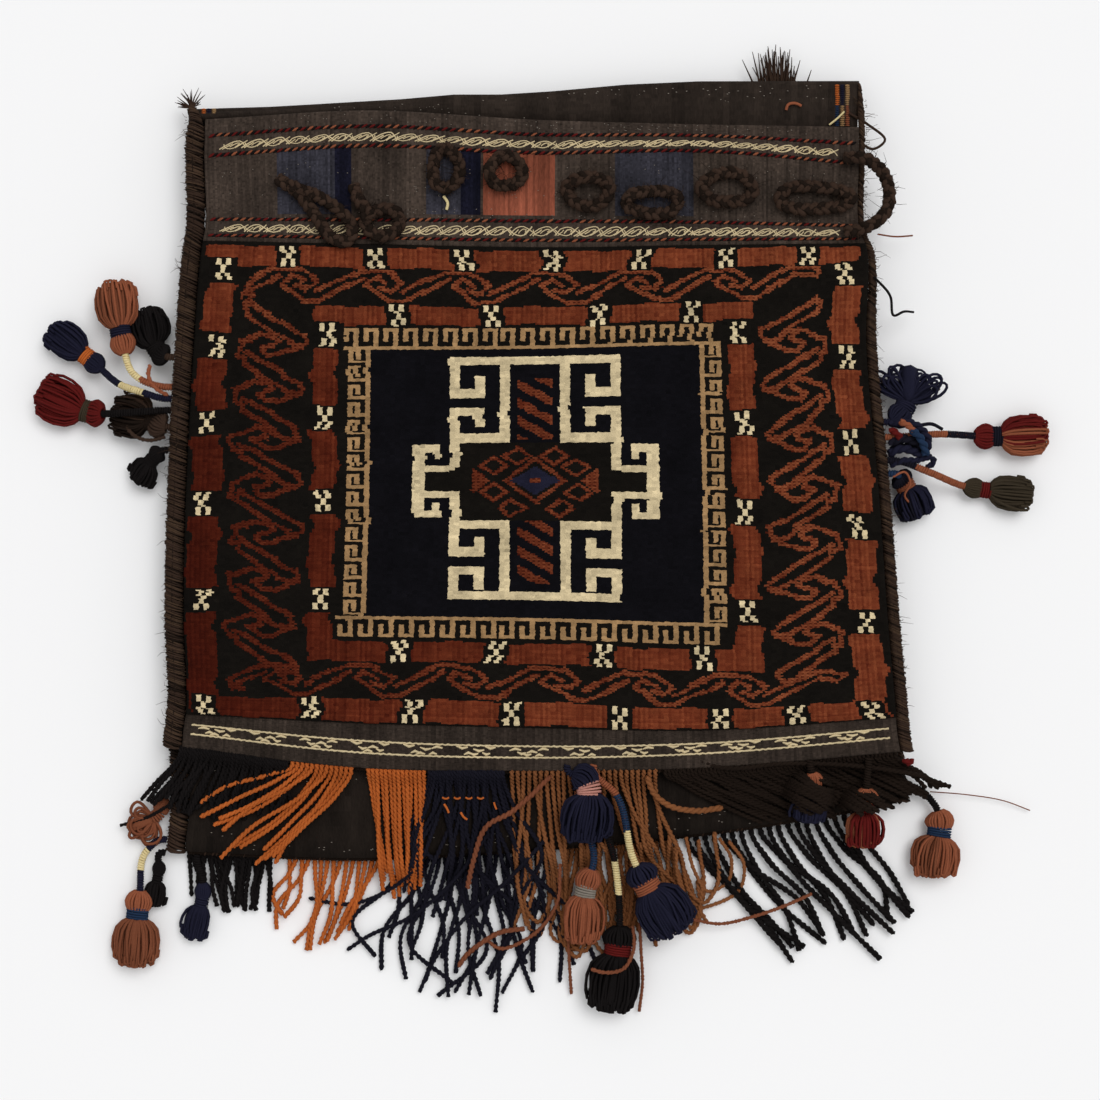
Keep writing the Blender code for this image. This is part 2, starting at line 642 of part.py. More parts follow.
def ramp(value, start, stop, low, high):
    """From low to high as value goes from start to stop, held at both ends."""
    share = max(0.0, min(1.0, (value - start) / (stop - start)))
    return low + (high - low) * share


def upper_height(co):
    """The upper fringe falls from the face's edge onto the lower pouch's cloth, then off its edge."""
    down = foot_line(lambda p: p, co.x) - co.y
    on_cloth = ramp(down, HEADER_DEPTH, SAG_LENGTH, FACE_LOW, LOWER_LEG_HIGH + LAID_HEIGHT)
    past = foot_line(lowered, co.x) - co.y
    return ramp(past, 2 * EDGE_LENGTH, STEP_LENGTH, on_cloth, STRAND_THICK + 3 * LAID_HEIGHT)


def lower_height(co):
    """The lower fringe falls from its face's edge to the surface below."""
    down = foot_line(lowered, co.x) - co.y
    return ramp(down, HEADER_DEPTH, SAG_LENGTH, LOWER_FACE_LOW, LAID_HEIGHT)


def strand_stations(drop, edge):
    """How far down a strand bends: where it has sunk, then where it passes the edge of the cloth under it."""
    over = edge + EDGE_LENGTH
    if drop > over > 1.5 * SAG_LENGTH:
        return (SAG_LENGTH, over, min(edge + STEP_LENGTH, (over + drop) / 2), drop)
    return (SAG_LENGTH, SAG_LENGTH + (drop - SAG_LENGTH) * 0.4, SAG_LENGTH + (drop - SAG_LENGTH) * 0.7, drop)


def make_fan(bag, fan, place_on_cloth, height_at):
    """A comb of strands on one header, draped from the foot edge down to what it lies on."""
    bm = bmesh.new()
    wide = 2 * fan.count - 1
    bmesh.ops.create_grid(bm, x_segments=wide, y_segments=5, size=0.5)
    gaps = [f for f in bm.faces if int((f.calc_center_median().x + 0.5) * wide) % 2]
    gaps = [f for f in gaps if f.calc_center_median().y < 0.5 - 1 / 5]
    bmesh.ops.delete(bm, geom=gaps, context="FACES")
    for vert in bm.verts:
        edge = round((vert.co.x + 0.5) * wide)
        level = round((0.5 - vert.co.y) * 5)
        s = (edge // 2 + 0.5) / fan.count
        foot = place_on_cloth(woven(fan.start + (fan.stop - fan.start) * s, FOOT_ROW)) - Vector((0, CLEARANCE))
        a, b, c = (1 - s) * (1 - 2 * s), 4 * s * (1 - s), s * (2 * s - 1)
        drop = fan.drop_left * a + fan.drop_middle * b + fan.drop_right * c
        drop *= MM * (0.9 + 0.1 * math.cos(edge // 2 * 2.4))
        tip = Vector(((fan.end_left + (fan.end_right - fan.end_left) * s) * MM, foot.y - drop))
        root = foot - Vector((0, HEADER_DEPTH))
        stations = strand_stations(drop, foot.y - foot_line(lowered, foot.x))
        share = 0 if level < 2 else (stations[level - 2] - HEADER_DEPTH) / (drop - HEADER_DEPTH)
        at = foot if level == 0 else root.lerp(tip, share)
        at.x += (edge % 2 - 0.5) * STRAND_WIDTH
        vert.co = (at.x, at.y, 0)
        vert.co.z = height_at(vert.co) + fan.lift * (STRAND_THICK + CLEARANCE)
    raised = bmesh.ops.extrude_face_region(bm, geom=bm.faces[:], use_keep_orig=True)
    top = [v for v in raised["geom"] if isinstance(v, bmesh.types.BMVert)]
    bmesh.ops.translate(bm, verts=top, vec=(0, 0, STRAND_THICK))
    bmesh.ops.recalc_face_normals(bm, faces=bm.faces)
    mesh = bpy.data.meshes.new(fan.name)
    bm.to_mesh(mesh)
    bm.free()
    return place(bpy.data.objects.new(fan.name, mesh), bag, fan.yarn)


# A tassel hangs from a seat and runs out from it: points in millimetres from the seat, as far out, along
# and up on the sides, and as x, y and z at the feet. Then come its radius and the length of its skirt.
Tassel = namedtuple("Tassel", "name yarn seat place route radius skirt")
TASSELS = (
    Tassel("left_tassel_dark", "goat_hair", "upper_left", 14,
           ((11, 4, -5.7), (35, 10, -12.7)), 14, 22),
    Tassel("left_tassel_rust", "camel", "upper_left", 38,
           ((23.5, 8, -2.2), (30.5, 28, -9.2), (36.5, 64, -11.2)), 15, 30),
    Tassel("left_tassel_black", "black", "upper_left", 56,
           ((9.6, 4, -2.2), (16.6, 28, -8.2)), 8, 20),
    Tassel("left_tassel_navy", "navy", "upper_left", 31,
           ((18, 4, 0.8), (32, 9, -4.2), (48, 22, -10.2), (75, 43, -13.2)), 11, 24),
    Tassel("left_tassel_cherry", "cherry", "upper_left", 24,
           ((19.6, -1, 1.8), (36.6, -2, -0.2), (48.6, -1, -9.2), (81.6, 12, -12.2)), 13, 28),
    Tassel("left_tassel_low", "black", "upper_left", 0,
           ((8.1, -3, -4.2), (20.1, -18, -13.2)), 9, 14),
    Tassel("right_tassel_navy_looped", "navy", "upper_right", 17,
           ((5.2, 5, -2.2), (12.2, 37, -11.2)), 13, 26),
    Tassel("right_tassel_cherry", "cherry", "upper_right", 8,
           ((29.4, 2, -4.2), (57.4, 1, -11.2), (94.4, 2, -11.2)), 14, 27),
    Tassel("right_tassel_olive", "black", "upper_right", -6,
           ((20.3, -7, -2.2), (42.3, -15, -11.2), (84.3, -20, -13.2)), 10, 27),
    Tassel("right_tassel_navy", "navy", "upper_right", -14,
           ((5.6, -5, -10.2), (14.6, -26, -13.2)), 12, 18),
    Tassel("foot_left_tassel_looped", "camel", "lower_left", -214,
           ((8.4, -4, 0.4), (29.4, -16, -0.6)), 8, 18),
    Tassel("foot_left_tassel_long", "camel", "lower_left", -236,
           ((15.9, -7, 1.4), (19.9, -32, 1.4), (23.9, -76, 1.4)), 14, 28),
    Tassel("foot_left_tassel_grey", "goat_hair", "lower_left", -244,
           ((8, -10, -0.6), (12, -32, -1.6)), 6, 14),
    Tassel("foot_left_tassel_navy", "navy", "lower_foot", 2,
           ((-6.2, -13.4, -1.7), (-11.2, -51.4, -2.7)), 8, 20),
    Tassel("foot_middle_tassel_navy", "navy", "face", 73,
           ((8.8, -7, 1.4), (9.8, -45, 2.1)), 15, 28),
    Tassel("foot_middle_tassel_wide", "navy", "face", 78,
           ((13.1, -17.2, -0.1), (24.1, -57.2, -4.1), (50.1, -101.2, -9.1)), 17, 30),
    Tassel("foot_middle_tassel_rust", "camel", "fringe", 75,
           ((9.5, -43, 1.2), (5.5, -56, 0.5), (2.5, -91, -3)), 13, 28),
    Tassel("foot_middle_tassel_black", "black", "fringe", 79,
           ((10, -43, 0.8), (13, -78, -4), (7, -133, -7)), 17, 34),
    Tassel("foot_right_tassel_long", "camel", "lower_right", -204,
           ((7.5, -10, 1.4), (6.5, -54, 2.4)), 15, 24),
    Tassel("foot_right_tassel_rust", "cherry", "face", 130,
           ((-0.8, -18.1, -0.1), (-2.8, -58.1, -2.1)), 12, 20),
    Tassel("foot_right_tassel_navy", "navy", "face", 119,
           ((1.3, -11.1, -0.1), (-0.7, -40.1, -3.1)), 10, 16),
)
TASSEL_FLATNESS = 0.52
CORD_RADIUS = 2.0 * MM
CORD_HALF_HEIGHT = CORD_RADIUS * TASSEL_FLATNESS * TUBE_FLAT
CORD_STUB = 3.0 * MM
FACE_SEAT_INSET = 4.0 * MM
FRINGE_SEAT_DROP = 13.0 * MM
ROUTE_STEPS = 25


def binding_seat(lower, right, y):
    """Just outside a side binding at this y, and the way out from there."""
    side = 1 if right else -1
    path = side_path(PILE_COLUMNS if right else 0, LOWER_BINDING_Z if lower else UPPER_BINDING_Z, lower)
    i = max(0, min(len(path) - 2, sum(1 for p in path if p.y > y) - 1))
    share = (y - path[i].y) / (path[i + 1].y - path[i].y)
    seat = path[i].lerp(path[i + 1], share)
    seat.x += side * (BINDING_RADIUS + CLEARANCE)
    return seat, Vector((side, 0, 0))


def foot_seat(seat, column):
    """On the upper face's foot, on the fringe below it, or against the lower pouch's foot."""
    foot = woven(column, FOOT_ROW)
    if seat == "face":
        return Vector((foot.x, foot.y + FACE_SEAT_INSET, FACE_HIGH + RELIEF + CLEARANCE / 2 + CORD_HALF_HEIGHT))
    if seat == "fringe":
        top = LOWER_LEG_HIGH + LAID_HEIGHT + STRAND_THICK
        return Vector((foot.x, foot.y - FRINGE_SEAT_DROP, top + CLEARANCE + CORD_HALF_HEIGHT))
    foot = lowered(foot)
    return Vector((foot.x, foot.y - CLEARANCE, (LOWER_FACE_HIGH + LOWER_LEG_LOW) / 2))


def tassel_route(tassel):
    """The points from a tassel's seat to the tips of its skirt."""
    steps = [Vector(step) * MM for step in tassel.route]
    if tassel.seat in ("face", "fringe", "lower_foot"):
        seat = foot_seat(tassel.seat, tassel.place)
        return [seat, seat - Vector((0, CORD_STUB, 0))] + [seat + step for step in steps]
    right = tassel.seat.endswith("right")
    seat, out = binding_seat(tassel.seat.startswith("lower"), right, tassel.place * MM)
    return [seat, seat + out * CORD_STUB] + [seat + Vector((step.x * out.x, step.y, step.z)) for step in steps]


def tassel_profile(length, radius, skirt):
    """Distance from the tips of the skirt against radius: skirt, bound neck, head and cord."""
    neck = skirt + 4 * MM
    crown = neck + min(7 * MM, 0.25 * skirt)
    rest = length - crown
    return (
        (0, 0.84 * radius),
        (0.28 * skirt, radius),
        (skirt, 0.48 * radius),
        (0.6 * neck + 0.4 * crown, 0.56 * radius),
        (crown, CORD_RADIUS * 1.2),
        (crown + 0.5 * (rest - CORD_STUB), CORD_RADIUS),
        (length - CORD_STUB, CORD_RADIUS),
        (length, CORD_RADIUS),
    )


def point_along(path, distance):
    """The point this far along a path of short straight steps."""
    for a, b in zip(path, path[1:]):
        step = (b - a).length
        if distance <= step:
            return a.lerp(b, distance / step)
        distance -= step
    return path[-1]


def height_beside(path, co):
    """The height of the path at its nearest point in plan."""
    found = []
    for a, b in zip(path, path[1:]):
        step = (b - a).to_2d()
        share = max(0.0, min(1.0, (co.to_2d() - a.to_2d()).dot(step) / step.length_squared))
        gap = (a.to_2d().lerp(b.to_2d(), share) - co.to_2d()).length
        found.append((gap, a.z + (b.z - a.z) * share))
    return min(found)[1]


def make_tassel(bag, tassel):
    """A skein tied at its neck, on a cord, flattened as a soft thing lies."""
    path = smooth_path(tassel_route(tassel)[::-1], ROUTE_STEPS)
    length = sum((b - a).length for a, b in zip(path, path[1:]))
    profile = tassel_profile(length, tassel.radius * MM, tassel.skirt * MM)
    points = [point_along(path, distance) for distance, _ in profile]
    obj = tube(tassel.name, points, 1.0, [radius for _, radius in profile])
    for vert in obj.data.vertices:
        middle = height_beside(points, vert.co)
        vert.co.z = middle + (vert.co.z - middle) * TASSEL_FLATNESS
    return place(obj, bag, tassel.yarn)


TUFT_ROOT = Vector((148, 214)) * MM
TUFT_STRANDS = 5
TUFT_HIGH = LOWER_LEG_LOW - ROLL_PROUD - CLEARANCE


def make_fold_tuft(bag):
    """The frayed end of goat hair that shows past the fold."""
    half = STRAND_WIDTH / 2
    points = []
    for i in range(TUFT_STRANDS):
        x = TUFT_ROOT.x + (i - (TUFT_STRANDS - 1) / 2) * 1.6 * STRAND_WIDTH
        lean = (i - 2.6) * 2.6 * MM
        rise = (32 - 3.5 * abs(i - 1)) * MM
        root = Vector((x, TUFT_ROOT.y + 2 * MM))
        points += [root + Vector((-half, 0)), root + Vector((lean, rise)), root + Vector((lean + half, rise))]
        points += [root + Vector((half, 0))]
    points += [TUFT_ROOT + Vector((10 * MM, -6 * MM)), TUFT_ROOT + Vector((-10 * MM, -6 * MM))]
    plate = flat_plate("fold_tuft", [points], TUFT_HIGH - STRAND_THICK, TUFT_HIGH)
    return place(plate, bag, "goat_hair")


def main():
    for obj in list(bpy.data.objects):
        bpy.data.objects.remove(obj, do_unlink=True)
    bag = collection("saddle_bag")
    guides = collection("guides")
    make_saddle_cloth(bag, guides)
    make_upper_face(bag, guides)
    make_lower_face(bag, guides)
    make_bindings(bag)
    make_foot_seams(bag)
    make_loops(bag)
    for fan in UPPER_FANS:
        make_fan(bag, fan, lambda p: p, upper_height)
    for fan in LOWER_FANS:
        make_fan(bag, fan, lowered, lower_height)
    for tassel in TASSELS:
        make_tassel(bag, tassel)
    make_fold_tuft(bag)


main()
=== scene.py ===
"""Visual model of a double saddle bag of knotted and flat woven wool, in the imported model's frame."""

import logging
import math
from dataclasses import dataclass
from enum import Enum
from typing import ClassVar, Iterable, Sequence

import bmesh
import bpy
import numpy as np
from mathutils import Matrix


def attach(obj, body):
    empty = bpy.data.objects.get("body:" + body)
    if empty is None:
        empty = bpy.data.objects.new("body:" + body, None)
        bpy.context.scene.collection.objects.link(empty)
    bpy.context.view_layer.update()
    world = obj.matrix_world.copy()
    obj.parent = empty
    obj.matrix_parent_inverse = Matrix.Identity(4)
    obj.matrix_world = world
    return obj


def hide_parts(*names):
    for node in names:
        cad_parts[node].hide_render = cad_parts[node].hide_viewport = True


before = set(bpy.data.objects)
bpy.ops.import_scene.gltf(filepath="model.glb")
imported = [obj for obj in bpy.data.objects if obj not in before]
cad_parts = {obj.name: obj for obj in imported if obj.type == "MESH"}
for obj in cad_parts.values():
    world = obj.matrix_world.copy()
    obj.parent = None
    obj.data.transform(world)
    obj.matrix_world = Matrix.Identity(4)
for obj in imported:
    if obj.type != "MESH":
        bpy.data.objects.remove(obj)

MM = 0.001
LOG = logging.getLogger("saddle_bag")


class Yarn(Enum):
    """The wools and hairs of the bag."""

    GROUND = "ground"
    FIELD = "field"
    MADDER = "madder"
    VINE = "vine"
    IVORY = "ivory"
    GOLD = "gold"
    WEAVE = "weave"
    WEAVE_NAVY = "weave_navy"
    WEAVE_RED = "weave_red"
    GOAT = "goat"
    GOAT_DARK = "goat_dark"
    GOAT_PALE = "goat_pale"
    ORANGE = "orange"
    CAMEL = "camel"
    BROWN = "brown"
    NAVY = "navy"
    INK = "ink"
    BLACK = "black"
    RUST = "rust"
    CHERRY = "cherry"
    OLIVE = "olive"
    CREAM = "cream"
    GREY = "grey"
    PINK = "pink"
    BLUE = "blue"


@dataclass(frozen=True)
class Finish:
    """How a yarn looks: its colour as the eye sees it, its fibre's unevenness and how high its pile stands."""

    srgb: tuple[int, int, int]
    fibre: float = 0.3
    height: float = 0.0
    roughness: float = 0.92

    def linear(self) -> tuple[float, float, float, float]:
        """The colour in the renderer's linear scale."""
        out = [c / 255 for c in self.srgb]
        out = [c / 12.92 if c <= 0.04045 else ((c + 0.055) / 1.055) ** 2.4 for c in out]
        return (*out, 1.0)


FINISHES: dict[Yarn, Finish] = {
    Yarn.GROUND: Finish((17, 14, 11), height=-0.35),
    Yarn.FIELD: Finish((11, 10, 14), height=-0.1),
    Yarn.MADDER: Finish((90, 37, 20), height=0.1),
    Yarn.VINE: Finish((94, 42, 24), height=0.0),
    Yarn.IVORY: Finish((204, 186, 148), height=0.2),
    Yarn.GOLD: Finish((151, 119, 82), height=0.1),
    Yarn.WEAVE: Finish((57, 48, 42)),
    Yarn.WEAVE_NAVY: Finish((48, 47, 54)),
    Yarn.WEAVE_RED: Finish((128, 70, 52)),
    Yarn.GOAT: Finish((55, 41, 33)),
    Yarn.GOAT_DARK: Finish((30, 22, 17)),
    Yarn.GOAT_PALE: Finish((68, 52, 40)),
    Yarn.ORANGE: Finish((174, 91, 41)),
    Yarn.CAMEL: Finish((126, 79, 48)),
    Yarn.BROWN: Finish((117, 68, 47)),
    Yarn.NAVY: Finish((28, 28, 44)),
    Yarn.INK: Finish((23, 22, 31)),
    Yarn.BLACK: Finish((21, 18, 18)),
    Yarn.RUST: Finish((136, 78, 54)),
    Yarn.CHERRY: Finish((90, 24, 22)),
    Yarn.OLIVE: Finish((56, 48, 37)),
    Yarn.CREAM: Finish((216, 198, 148)),
    Yarn.GREY: Finish((132, 124, 114)),
    Yarn.PINK: Finish((176, 124, 112)),
    Yarn.BLUE: Finish((32, 48, 72)),
}


class Finishes:
    """Builds and keeps the materials, which share one node group for the fibre of the wool."""

    def __init__(self) -> None:
        self._made: dict[str, bpy.types.Material] = {}
        self._fibre = self._fibre_group()

    @staticmethod
    def _fibre_group() -> bpy.types.NodeTree:
        """A node group that varies a colour over the fibres and gives their height."""
        group = bpy.data.node_groups.new("wool_fibre", "ShaderNodeTree")
        face = group.interface
        face.new_socket("Color", in_out="INPUT", socket_type="NodeSocketColor")
        face.new_socket("Place", in_out="INPUT", socket_type="NodeSocketVector")
        depth = face.new_socket("Depth", in_out="INPUT", socket_type="NodeSocketFloat")
        depth.default_value = 0.3
        face.new_socket("Color", in_out="OUTPUT", socket_type="NodeSocketColor")
        face.new_socket("Height", in_out="OUTPUT", socket_type="NodeSocketFloat")
        nodes, link = group.nodes, group.links.new
        inside = nodes.new("NodeGroupInput")
        outside = nodes.new("NodeGroupOutput")
        fibre = nodes.new("ShaderNodeTexNoise")
        fibre.inputs["Scale"].default_value = 1.0
        fibre.inputs["Detail"].default_value = 3.0
        fibre.inputs["Roughness"].default_value = 0.65
        slow = nodes.new("ShaderNodeTexNoise")
        slow.inputs["Scale"].default_value = 0.05
        slow.inputs["Detail"].default_value = 2.0
        centred = nodes.new("ShaderNodeMath")
        centred.operation = "ADD"
        doubled = nodes.new("ShaderNodeMath")
        doubled.operation = "MULTIPLY_ADD"
        doubled.inputs[1].default_value = 2.0
        doubled.inputs[2].default_value = -2.0
        spread = nodes.new("ShaderNodeMath")
        spread.operation = "MULTIPLY_ADD"
        spread.inputs[2].default_value = 1.0
        shaded = nodes.new("ShaderNodeVectorMath")
        shaded.operation = "SCALE"
        link(inside.outputs["Place"], fibre.inputs["Vector"])
        link(inside.outputs["Place"], slow.inputs["Vector"])
        link(fibre.outputs["Fac"], centred.inputs[0])
        link(slow.outputs["Fac"], centred.inputs[1])
        link(centred.outputs[0], doubled.inputs[0])
        link(doubled.outputs[0], spread.inputs[0])
        link(inside.outputs["Depth"], spread.inputs[1])
        link(inside.outputs["Color"], shaded.inputs[0])
        link(spread.outputs[0], shaded.inputs["Scale"])
        link(shaded.outputs[0], outside.inputs["Color"])
        link(fibre.outputs["Fac"], outside.inputs["Height"])
        return group

    def _material(
        self,
        name: str,
        colour: Finish | str,
        grain: tuple[float, float, float],
        depth: float,
        bump: float,
    ) -> bpy.types.Material:
        """A matte wool.

        Args:
            name: the material's name.
            colour: a finish, or the name of the colour attribute that holds the yarns.
            grain: fibres in a metre along the object's x, y and z.
            depth: how far the fibres vary the colour.
            bump: how deep the fibres are, in metres.

        Returns:
            The material.
        """
        if name in self._made:
            return self._made[name]
        made = bpy.data.materials.new(name)
        made.use_nodes = True
        nodes, link = made.node_tree.nodes, made.node_tree.links.new
        shader = nodes["Principled BSDF"]
        shader.inputs["Roughness"].default_value = 0.92
        shader.inputs["Specular IOR Level"].default_value = 0.06
        place = nodes.new("ShaderNodeTexCoord")
        scale = nodes.new("ShaderNodeVectorMath")
        scale.operation = "MULTIPLY"
        scale.inputs[1].default_value = grain
        fibre = nodes.new("ShaderNodeGroup")
        fibre.node_tree = self._fibre
        fibre.inputs["Depth"].default_value = depth
        if isinstance(colour, str):
            yarns = nodes.new("ShaderNodeAttribute")
            yarns.attribute_name = colour
            link(yarns.outputs["Color"], fibre.inputs["Color"])
        else:
            fibre.inputs["Color"].default_value = colour.linear()
        relief = nodes.new("ShaderNodeBump")
        relief.inputs["Distance"].default_value = bump
        relief.inputs["Strength"].default_value = 0.8
        link(place.outputs["Object"], scale.inputs[0])
        link(scale.outputs[0], fibre.inputs["Place"])
        link(fibre.outputs["Color"], shader.inputs["Base Color"])
        link(fibre.outputs["Height"], relief.inputs["Height"])
        link(relief.outputs["Normal"], shader.inputs["Normal"])
        self._made[name] = made
        return made

    def yarn(self, yarn: Yarn) -> bpy.types.Material:
        """The plain material of one yarn."""
        finish = FINISHES[yarn]
        return self._material(f"yarn_{yarn.value}", finish, (900, 900, 900), finish.fibre, 0.0003)

    def pile(self) -> bpy.types.Material:
        """The knotted pile, its yarns read from the mesh."""
        return self._material("pile", "yarns", (1300, 1300, 900), 0.45, 0.0006)

    def flat_weave(self) -> bpy.types.Material:
        """The flat weave, ribbed along its warps, its yarns read from the mesh."""
        return self._material("flat_weave", "yarns", (1100, 260, 500), 0.55, 0.0005)


FINISH_KIT = Finishes()


def hermite(knots: Sequence[float], values: np.ndarray, at: np.ndarray) -> np.ndarray:
    """Values on a smooth curve through knots.

    Args:
        knots: where the values are known.
        values: the values, the last axis running along the knots.
        at: where they are wanted, shaped as the other axes.

    Returns:
        One value for each place in at.
    """
    knots = np.asarray(knots, float)
    values = np.broadcast_to(values, (*np.shape(at), len(knots)))
    slopes = np.gradient(values, knots, axis=-1)
    i = np.clip(np.searchsorted(knots, at, side="right") - 1, 0, len(knots) - 2)
    step = knots[i + 1] - knots[i]
    t = (at - knots[i]) / step

    def pick(table: np.ndarray, k: np.ndarray) -> np.ndarray:
        return np.take_along_axis(table, k[..., None], -1)[..., 0]

    low, high = pick(values, i), pick(values, i + 1)
    rise, fall = pick(slopes, i) * step, pick(slopes, i + 1) * step
    return (
        (2 * t**3 - 3 * t**2 + 1) * low
        + (t**3 - 2 * t**2 + t) * rise
        + (3 * t**2 - 2 * t**3) * high
        + (t**3 - t**2) * fall
    )


@dataclass(frozen=True)
class Lattice:
    """Where the chart's columns and rows lie on the upper pouch, in millimetres."""

    columns: tuple[float, ...] = (0, 36, 69, 102, 138)
    rows: tuple[float, ...] = (-41, -33, -6, 0, 33, 74.5, 116, 150, 157, 163)
    across: tuple[tuple[float, ...], ...] = (
        (-199, -98.5, -1, 96.5, 193),
        (-199.5, -98.5, -1, 96.5, 193),
        (-199, -98.5, -1, 96.5, 194),
        (-200.4, -98.4, -0.6, 96, 196.8),
        (-205.8, -99.6, -1.2, 97.2, 197.4),
        (-210, -100.5, -1.2, 99, 204.6),
        (-211.8, -102.6, -1.2, 100.2, 210.6),
        (-210.6, -103.8, -1.2, 100.8, 215.4),
        (-212, -104, -1.2, 101, 216),
        (-213, -104, -1.2, 101, 218),
    )
    up: tuple[tuple[float, ...], ...] = (
        (198.6, 203.7, 198.3, 195.6, 193.8),
        (181.8, 187.8, 183.3, 183.9, 177),
        (133.2, 132, 131.1, 130.8, 129.9),
        (125.4, 123.3, 121.5, 122.7, 123.9),
        (60, 60, 60.6, 63, 62.4),
        (-19.8, -19.2, -18.9, -19.8, -21.6),
        (-98.4, -99.6, -100.8, -103.8, -105),
        (-158.4, -163.8, -166.5, -168, -160.4),
        (-166.8, -178, -181.3, -178.8, -169.2),
        (-178.8, -190.8, -192.6, -190.8, -181.2),
    )

    def place(self, column: np.ndarray, row: np.ndarray) -> tuple[np.ndarray, np.ndarray]:
        """The x and y of places on the chart."""
        column, row = np.broadcast_arrays(np.asarray(column, float), np.asarray(row, float))
        found = []
        for table in (self.across, self.up):
            down = np.stack([hermite(self.columns, np.array(line), column) for line in table], -1)
            found.append(hermite(self.rows, down, row))
        return found[0], found[1]


LATTICE = Lattice()
MOUTH_ROW = -41.0
FOOT_ROW = 163.0
COLUMNS = 138
ROWS = 150


@dataclass(frozen=True)
class Layers:
    """Heights of the layers over the floor, in millimetres."""

    lower_face: float = 2.4
    lower_leg: float = 11.3
    upper_leg: float = 14.9
    cloth: float = 2.6
    face_low: float = 20.8
    face_high: float = 23.8
    pile_top: float = 26.0
    lower_slant: float = math.tan(math.radians(4.2))
    lower_drop: float = 48.0

    def lowered(self, x: np.ndarray, y: np.ndarray) -> tuple[np.ndarray, np.ndarray]:
        """The same place on the lower pouch."""
        return x, y + x * self.lower_slant - self.lower_drop


LAYERS = Layers()


def swell(x: np.ndarray, y: np.ndarray, size: float = 1.0) -> np.ndarray:
    """The gentle unevenness of a cloth that has been folded and used, in millimetres."""
    return size * (
        0.35 * np.sin(x / 41 + 0.6) * np.cos(y / 57)
        + 0.25 * np.sin(x / 23 + y / 31)
        + 0.15 * np.cos(x / 13 - y / 17 + 1.2)
    )


class WeavingChart:
    """The yarn of each half knot of a face, painted motif by motif."""

    FINE = 2
    KNOT = (3.0, 1.9)

    def __init__(self) -> None:
        self.palette = list(Yarn)
        shape = (ROWS * self.FINE, COLUMNS * self.FINE)
        self.cells = np.full(shape, self.palette.index(Yarn.GROUND), np.int8)

    def rect(self, left: float, right: float, top: float, foot: float, yarn: Yarn) -> None:
        """Fills a rectangle of knots."""
        f = self.FINE
        rows = slice(max(0, round(top * f)), max(0, round(foot * f)))
        columns = slice(max(0, round(left * f)), max(0, round(right * f)))
        self.cells[rows, columns] = self.palette.index(yarn)

    def settle(self, reach: float) -> None:
        """Shifts rows and columns by up to reach cells, as a weaver's hand does: no edge stays quite straight."""
        rows, columns = np.indices(self.cells.shape)
        aside = reach * (0.8 * np.sin(rows / 6.1 + columns / 47) + 0.2 * np.sin(rows / 2.7 + columns / 19))
        down = reach * 0.7 * np.sin(columns / 7.7 + rows / 53 + 2.0)
        from_row = np.clip(np.rint(rows + down).astype(int), 0, self.cells.shape[0] - 1)
        from_column = np.clip(np.rint(columns + aside).astype(int), 0, self.cells.shape[1] - 1)
        self.cells = self.cells[from_row, from_column]

    def _grid(self) -> tuple[np.ndarray, np.ndarray]:
        """The column and row at the middle of each cell."""
        rows, columns = np.indices(self.cells.shape)
        return (columns + 0.5) / self.FINE, (rows + 0.5) / self.FINE

    def stroke(self, points: Sequence[tuple[float, float]], width: float, yarn: Yarn) -> None:
        """Draws a line of a width in millimetres through points of the chart."""
        column, row = self._grid()
        x, y = column * self.KNOT[0], row * self.KNOT[1]
        path = [(c * self.KNOT[0], r * self.KNOT[1]) for c, r in points]
        hit = np.zeros(self.cells.shape, bool)
        for (ax, ay), (bx, by) in zip(path, path[1:]):
            dx, dy = bx - ax, by - ay
            share = np.clip(((x - ax) * dx + (y - ay) * dy) / max(dx * dx + dy * dy, 1e-6), 0, 1)
            hit |= np.hypot(x - ax - share * dx, y - ay - share * dy) < width / 2
        self.cells[hit] = self.palette.index(yarn)

    def lozenge(self, column: float, row: float, across: float, down: float, yarn: Yarn) -> None:
        """Fills a lozenge of half width across and half height down."""
        c, r = self._grid()
        inside = abs(c - column) / across + abs(r - row) / down < 1
        self.cells[inside] = self.palette.index(yarn)

    def cross(self, column: float, row: float, half: float) -> None:
        """A white cross on a dark square that parts two madder blocks."""
        self.rect(column - 2.5, column + 2.5, row - half, row + half, Yarn.GROUND)
        self.rect(column - 0.5, column + 0.5, row - 1.1, row + 1.1, Yarn.IVORY)
        for left, right in ((-1.5, -0.5), (0.5, 1.5)):
            for low, high in ((-3.3, -1.1), (1.1, 3.3)):
                self.rect(column + left, column + right, row + low, row + high, Yarn.IVORY)

    def outlined(self, column: float, row: float, across: float, down: float, inside: Yarn) -> None:
        """A lozenge with a rust outline one knot wide."""
        self.lozenge(column, row, across, down, Yarn.VINE)
        self.lozenge(column, row, across - 1.3, down * (1 - 1.3 / across), inside)

    def stripes(self, middle: float, row: float, near: float, far: float, half: float) -> None:
        """Slanting rust stripes in the arms over and under the medallion's middle."""
        column, down = self._grid()
        inside = (abs(column - middle) <= half) & (abs(down - row) > near) & (abs(down - row) < far)
        slope, pitch, thick = 0.85, 5.7, 2.8
        hit = inside & ((down - slope * (column - middle)) % pitch < thick)
        self.cells[hit] = self.palette.index(Yarn.VINE)


